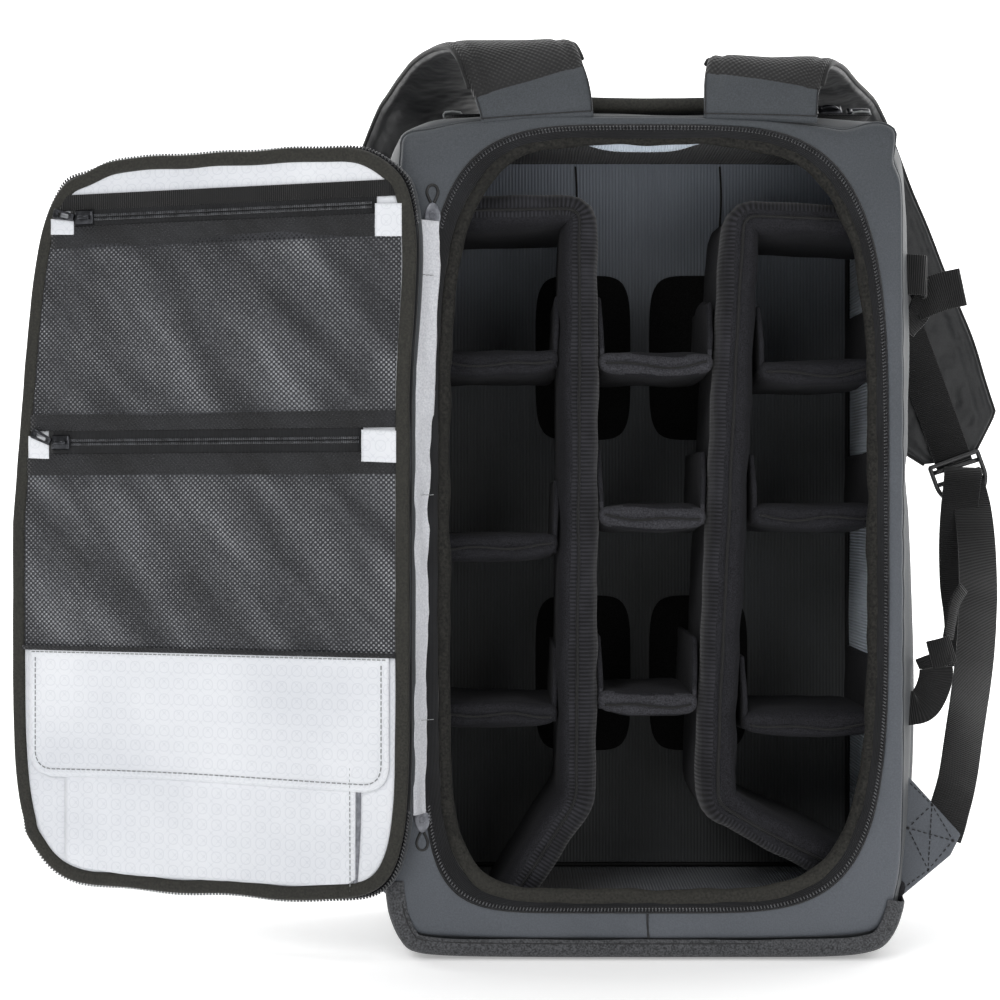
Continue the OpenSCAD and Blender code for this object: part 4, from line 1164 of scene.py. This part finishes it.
def main_sliders():
    """The main zip's two sliders, each with a ring and a cord pull."""
    for tag, c, d in (("top", (-126.5, 436), 1), ("bottom", (-132.5, 81.5), -1)):
        s = shield(*c, d, -91.6, 3.0)
        a = turns(20)
        ring = np.stack([c[0] + 1.5 * np.cos(a), np.full(20, -91.9), c[1] - d * 0.6 + 2.0 * np.sin(a)], 1)
        s.rod(ring, EY, 0.25, 0.35, 6, closed=True)
        piece(f"zip_slider_{tag}", s, GREY_METAL, "bag", [f"main_slider_{tag}"])
        half = [(-0.9, 6.8), (-2.2, 9.5), (-3.3, 13), (-2.2, 16.2)]
        loop = [*half, (0, 17.2), *((-x, z) for x, z in half[::-1])]
        path = along(spline([(c[0] + x, TAPE_Y, c[1] + d * z) for x, z in loop], 6), 60)
        s, node = Shape().rod(path, EY, 0.7, 0.85), f"main_pull_{tag}"
        piece(f"cord_pull_{tag}", s, CORD, node, [node])


def gusset():
    """Light strip along the hinge, and three stitched ticks on it. Both are drawn curving from the pack to the open
    lid.
    """
    zs = np.linspace(86, 432, 110)
    prof = spline([(-121.5, -90.2), (-125, -92.2), (-128.4, -94.6), (-131.5, -97.2), (-134.6, -99.6),
        (-137.5, -101.5)], 4)
    P = arr([[(x, y, z) for x, y in prof] for z in zs])
    pull = np.interp(zs, [90, 105, 170, 230, 280, 350, 400, 430], [-8.2, -8.4, -7.4, -7.2, -6.6, -3.2, -1.2, 0])
    P[..., 0] += pull[:, None] * np.linspace(1, 0, len(prof))[None]
    P[..., 1] += 1.1 * bumps(P, (7, 7, 26), 60) + 0.7 * bumps(P, (9, 9, 11), 62)
    P[..., 0] += 0.9 * bumps(P, (12, 12, 22), 61)
    strip = piece("gusset_strip", Shape().grid(P), GUSSET, None, ["hinge_gusset"], thick=0.9)
    s = Shape()
    for z in (400, 272, 141):
        C = arr([(x, y - 0.7, z) for x, y in prof[6:15:3]])
        s.bars(C, (1, 0, 0.1), (-0.5, -0.8, 0), (2.2, 0.5, 0.4))
    ticks = piece("gusset_ticks", s, THREAD, None)
    for obj in (strip, ticks):
        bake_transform(obj)


# ---------------------------------------------------------------- lid


def lid_span(z, d):
    """Lowest and highest X of the lid's outline, inset by d, at height z."""
    a, b = LID_A - d, LID_B - d
    t = np.clip((z - LID_Z) / b, -0.99999, 0.99999)
    ne, nw, sw, se = (a * (1 - np.abs(t) ** p) ** (1 / p) for p in LID_SQUARE)
    low = LID_X - np.where(t > 0, nw, sw)
    return low - lid_ear(low, z), LID_X + np.where(t > 0, ne * (1 - LID_TAPER * t), se)


def lid_sheet(name, outline, y, mat, replaces, nx, nz, seed, amp, clip, scale, thick, bulge=0.0):
    """Cloth sheet over outline = (x0, z0, x1, z1), trimmed to the lid's inner line, y being its closed depth.

    amp and scale are the height and the width of its creases, clip how far inside the lid's outline it stays.
    """
    x0, z0, x1, z1 = outline
    z0, z1 = max(z0, LID_Z - LID_B + 0.1 + clip), min(z1, LID_Z + LID_B - 0.1 - clip)
    w = np.linspace(0, 1, nz)
    if z1 - z0 > 300:
        w = (1 - np.cos(np.pi * w)) / 2
    U, W = np.meshgrid(np.linspace(0, 1, nx), w)
    Z = z0 + (z1 - z0) * W
    lo, hi = lid_span(Z[:, 0], clip)
    lo, hi = np.maximum(lo, x0), np.minimum(hi, x1)
    X = lo[:, None] + (hi - lo)[:, None] * U
    P = np.stack([X, np.full_like(X, y), Z], -1)
    edge = np.minimum(np.minimum(U, 1 - U) * 6, np.minimum(W, 1 - W) * 6).clip(0, 1)
    P[..., 1] += edge * (amp * bumps(P, scale, seed) + bulge * (np.sin(np.pi * U) * np.sin(np.pi * W)) ** 0.6)
    s = Shape().grid(P)
    flat = P.reshape(-1, 3)[:, ::2] / 1000
    s.uv = [[tuple(flat[k]) for k in f] for f in s.f]
    return piece(name, s, mat, "lid", replaces, thick=thick)


def lid_band(name, path, side, w, t, mat, replaces=(), wave=0.15, seed=0):
    """Band on the lid, with a slight wave."""
    return flat_band(name, path, side, w, t, mat, "lid", replaces, wave=wave, seed=seed)


def chain(name, x0, x1, z, y, pitch=1.3):
    """Closed coil: two rows of short bars on a low double ridge."""
    C = arr([(x, y, z) for x in np.arange(x0, x1, pitch)])
    s, off = Shape(), 1.15
    for k in (off, -off):
        s.bars(C + (0, 0.25, k), EZ, EY, (1.6, 0.6, 0.6))
    piece(name, s, COIL, "lid", flat=True)
    for tag, k in (("low", -off), ("top", off)):
        lid_band(f"{name}_{tag}", level(x0, x1, 30, y + 0.1, z + k), EZ, 1.5, 0.5, TEETH, seed=9)


def lid():
    """Everything on the lid. Depths are those of the closed lid, whose lining faces +Y."""
    # cover, edge, zip half
    across = (
        (1.6, -97.4), (1.0, -99.5), (0.8, -103), (1.6, -106), (4, -107.6), (12, -108.6), (40, -109), (85, -109),
    )
    rows = [at_y(lid_line(d, 300), y) for d, y in across]
    mid = rows[-1].mean(0)
    rows += [mid + (rows[-1] - mid) * k for k in (0.5, 0.05, 0.002)]
    P = arr(rows)
    P[..., 1] += 0.6 * bumps(P, 35, 70)
    s = Shape().grid(P, close_v=True)
    piece("lid_back_cover", s, PACK_SHADED, "lid", ["lid_cover", "lid_foam"], thick=0.9)
    P = arr([at_y(lid_line(d, 300), y) for d, y in ((0.9, -98.6), (1.2, -97.6), (5, -97.2), (9, -97))])
    piece("lid_zip_tape", Shape().grid(P, close_v=True), TAPE, "lid", ["lid_zip"], thick=0.7)
    zip_teeth("zip_teeth_lid", lid_line, 1.0, 620, -97.2, EY, (2.6, 1.15, 1.0), "lid")
    line = at_y(lid_line(5.4, 420), -94.6)
    sec = ring_section(4.2, 2.7, 14, 2.5) * (1 + 0.08 * bumps(line, 20, 71))[:, None, None]
    side = unit(at_y(lid_line(0, 420), 0) - at_y(lid_line(20, 420), 0))
    P = sweep(line, side, sec, True)
    P[..., 1] = np.minimum(P[..., 1], -92.3)
    obj = piece("lid_edge_roll", Shape().grid(P, close_u=True, close_v=True), BINDING, "lid",
        ["lid_binding"])
    # lining
    lid_sheet("lid_lining", (-140, 30, 140, 480), -94.6, LINING, ["lid_liner"], 80, 150, 72, 0.5, 8.0,
        (60, 60, 60), 0.8)
    # pads on the wearer's side
    s = Shape()
    pads = ((-100, 330, -6, 450), (6, 330, 96, 440), (-100, 200, -6, 318), (6, 200, 108, 318), (-100, 62, 112, 188))
    for x0, z0, x1, z1 in pads:
        s.plate((x0, -117.6, z0), (x1, -108.2, z1), 4.6, (22, 5, 22), 0.06, 7.0)
    obj = piece("back_pad_mesh", s, AIR_MESH, "lid", ["back_pads"], weld=0.02)
    puff(obj, 6.0, 1.2, (1, 1, 1), 0.04)
    # mesh pockets with their hems
    a, b = (
        lid_sheet(
            f"pocket_net_{tag}", (-140, z0, 140, z1), -93.4, NET, [f"mesh_pocket_{tag}"],
            120, 60, seed, 1.3, 9.5, (60, 30, 16), 0.0, 3.0,
        )
        for tag, z0, z1, seed in (("upper", 311, 435, 74), ("lower", 178, 297, 75))
    )
    hems = (
        ("upper_top", 422, 435, -122, 105), ("upper_low", 311, 321, -123, 122),
        ("lower_top", 284, 297, -123, 122), ("lower_low", 177.6, 180.4, -123, 122),
    )
    for seed, (tag, z0, z1, x0, x1) in enumerate(hems, 1):
        lo, hi = lid_span(arr([(z0 + z1) / 2]), 9.0)
        path = level(max(x0, lo[0]), min(x1, hi[0]), 50, -93.3, (z0 + z1) / 2)
        path[:, 1] += 0.15 * np.sin(path[:, 0] / 23 + seed) + 1.1 * (z1 - z0 < 4)
        lid_band(f"hem_{tag}", path, EZ, z1 - z0, 1.2, HEM, wave=0.12, seed=seed)
    # webbing band over the upper zip, both zips
    path = level(-123, 97, 50, -93.4, 449.5)
    lid_band("pocket_band", path, EZ, 9.5, 1.4, WEBBING, replaces=["pocket_zips"], seed=5)
    lid_band("pocket_tape_upper", level(-111, 88, 50, -93.6, 440), EZ, 10, 0.9, TAPE, seed=6)
    lid_band("pocket_tape_lower", level(-102.5, 103, 50, -93.6, 304), EZ, 14, 0.9, TAPE, seed=7)
    chain("pocket_teeth_upper", -108, 86, 440, -93.1)
    chain("pocket_teeth_lower", -100, 101, 304, -93.1)
    s = Shape()
    tabs = (-127, -110.5, 421, 440), (85.5, 101, 430, 439.5), (-123.5, -102, 290.5, 309), (102.5, 116.5, 294, 307.5)
    for x0, x1, z0, z1 in tabs:
        U, W = np.meshgrid(np.linspace(x0, x1, 10), np.linspace(z0, z1, 10))
        s.grid(np.stack([U, -92.5 + 0.12 * np.sin(U / 3) + 0.1 * np.sin(W / 2.5), W + 0.04 * (U - x0)], -1))
    piece("zip_end_tabs", s, LINING, "lid", ["zip_end_patches"], thick=0.5)
    # sleeve pocket and its flap
    obj = lid_sheet("foot_pocket", (-98, 36, 92, 178), -93.5, LINING, ["sleeve_pocket"], 60, 50, 76,
        0.9, 9.5, (50, 40, 40), 1.2)
    Q = [(-99.2, -93.6, 118), (-99.9, -93.6, 98), (-99.6, -93.6, 78), (-98.6, -93.6, 58), (-97.6, -93.6, 46)]
    # A grey strip along the pocket's edge: painted shadow where the pocket opens.
    lid_band("foot_pocket_gap", spline(Q, 8), EX, 2.6, 0.8, GREY_METAL, wave=0.2, seed=12)
    C = along(arr([(-94.6, -92.6, 126), (-94.9, -92.6, 42)]), 26)
    piece("foot_pocket_stitches", Shape().bars(C, EZ, EY, (2.2, 0.5, 0.3)), THREAD, "lid")
    flap()
    zips()


def flap():
    """The flat pocket's flap, stitched round its edge and along its top."""
    U, W = np.meshgrid(np.linspace(-1, 1, 70), np.linspace(0, 1, 30))
    half, top, low, r = 117.5, 178.4, 100.5, 15.0
    Z = top - (top - low) * W
    cut = np.where(Z < low + r, r - np.sqrt(np.maximum(r * r - (low + r - Z) ** 2, 0)), 0)
    X = -1.5 + U * (half - cut)
    P = np.stack([X, np.full_like(X, -92.6), Z], -1)
    P[..., 1] += 0.5 * bumps(P, (70, 40, 40), 77) * smooth(0, 0.3, W)
    P[..., 2] += 1.2 * np.sin((U + 0.4) * 2.2) * smooth(0.5, 1, W)
    P[..., 1] = np.minimum(P[..., 1], -92.3)
    obj = piece("flap_cloth", Shape().grid(P), LINING, "pocket_flap", ["pocket_flap"], thick=1.0)
    x1, zl = half - 4.5, low + 4.5
    line = rounded_path([(-1.5 - x1, 172), (-1.5 - x1, zl), (-1.5 + x1, zl), (-1.5 + x1, 172)], r - 3, 8)
    C = along(line, 104)
    C[:, 1] += 1.2 * np.sin(((C[:, 0] + 1.5) / half + 0.4) * 2.2) * smooth(140, 100, C[:, 1])
    C = at_y(C, -91.75)
    piece("flap_stitches", Shape().bars(C, heading(C), EY, (2.4, 0.6, 0.3)), THREAD, "pocket_flap")
    C = level(-116, 113, 76, -92.0, 176.5)
    piece("flap_top_stitches", Shape().bars(C, EX, EY, (2.2, 0.6, 0.3)), THREAD, "pocket_flap")


def zips():
    """The pocket zips' sliders and pulls, each pull tilted by some degrees."""
    y = -92.6
    for tag, x, z, tilt in (("upper", 78, 440, 13), ("lower", 94, 304, 25)):
        s, node = slider_body(Shape(), lambda a, b, c: (x + a, y + c, z - b)), f"pocket_slider_{tag}"
        piece(f"slider_{tag}", s, METAL, node, [node])
        ca, sa = math.cos(math.radians(tilt)), math.sin(math.radians(tilt))
        s = pull_tab(Shape(), lambda a, b, c: (x + 6.3 + a * ca + b * sa, y + c, z + a * sa - b * ca), 15, 3.1, 1.2)
        node = f"pocket_pull_{tag}"
        piece(f"pull_{tag}", s, METAL, node, [node])


# ---------------------------------------------------------------- studio


def studio():
    """Backdrop, lights and camera of the photograph."""
    world = bpy.data.worlds.new("studio")
    bpy.context.scene.world = world
    world.use_nodes = True
    bg = world.node_tree.nodes["Background"]
    bg.inputs[0].default_value, bg.inputs[1].default_value = (1, 1, 1, 1), 0.36
    # floor, curve and wall of the backdrop (Y, Z)
    floor, bend, r = -0.5, 2700, 900
    prof = [(y, floor) for y in (-5000, -2500, -1000, 0, 1000, 2000, bend)]
    prof += [(bend + r * math.sin(a), floor + r * (1 - math.cos(a))) for a in np.radians(np.linspace(5, 90, 18))]
    prof.append((bend + r, 5000))
    P = arr([[(x, y, z) for x in np.linspace(-6000, 6000, 25)] for y, z in prof])
    m = Mat("backdrop", 0.9)
    m.ramp(m.noise(2), [(0.35, (0.93, 0.93, 0.93, 1)), (0.65, (0.96, 0.96, 0.96, 1))])
    # the backdrop glows, more strongly further back: painted light that keeps the far backdrop white
    away = m.node("MapRange", Value=m.axes("Object")[1], From_Min=0.4, From_Max=2.4, To_Min=0.3, To_Max=1.0)
    m.feed(away.outputs["Result"], m.p.inputs["Emission Strength"])
    m.p.inputs["Emission Color"].default_value = (1, 1, 1, 1)
    back = piece("backdrop", Shape().grid(P), m.m, None)
    lights = (
        ("key", (-0.9, -1.9, 1.5), 1.1, 15),
        ("fill", (1.1, -1.8, 0.7), 1.2, 8),
        ("top", (0.1, -0.2, 2.0), 1.2, 8),
        ("wall_left", (-1.4, 0.9, 1.3), 1.4, 14),
        ("wall_right", (1.5, 0.9, 1.3), 1.4, 14),
    )
    for name, at, size, watts in lights:
        light = bpy.data.lights.new(name, "AREA")
        light.energy, light.size = watts, size
        o = bpy.data.objects.new(name, light)
        bpy.context.scene.collection.objects.link(o)
        o.location = at
        target = Vector((-0.05, 0.5 if name.startswith("wall") else 0, 0.27))
        o.rotation_euler = (target - Vector(at)).to_track_quat("-Z", "Y").to_euler()
    cam = bpy.data.cameras.new("camera")
    cam.sensor_width, cam.lens = 36, 76.92
    o = bpy.data.objects.new("camera", cam)
    o.location, o.rotation_euler = (-0.087, -1.34, 0.269), (math.pi / 2, 0, 0)
    bpy.context.scene.collection.objects.link(o)
    bpy.context.scene.camera = o
    bpy.context.scene.view_settings.view_transform = "Standard"


studio()
shell()
boot()
main_opening()
long_divider("divider_pad_left", LEFT, "long_divider_left", 14, 1)
long_divider("divider_pad_right", RIGHT, "long_divider_right", 17, -1)
for side, heights in ROWS.items():
    for i, z in enumerate(heights, 1):
        short_divider(side, i, z)
straps()
side_straps()
top_fittings()
main_sliders()
gusset()
lid()
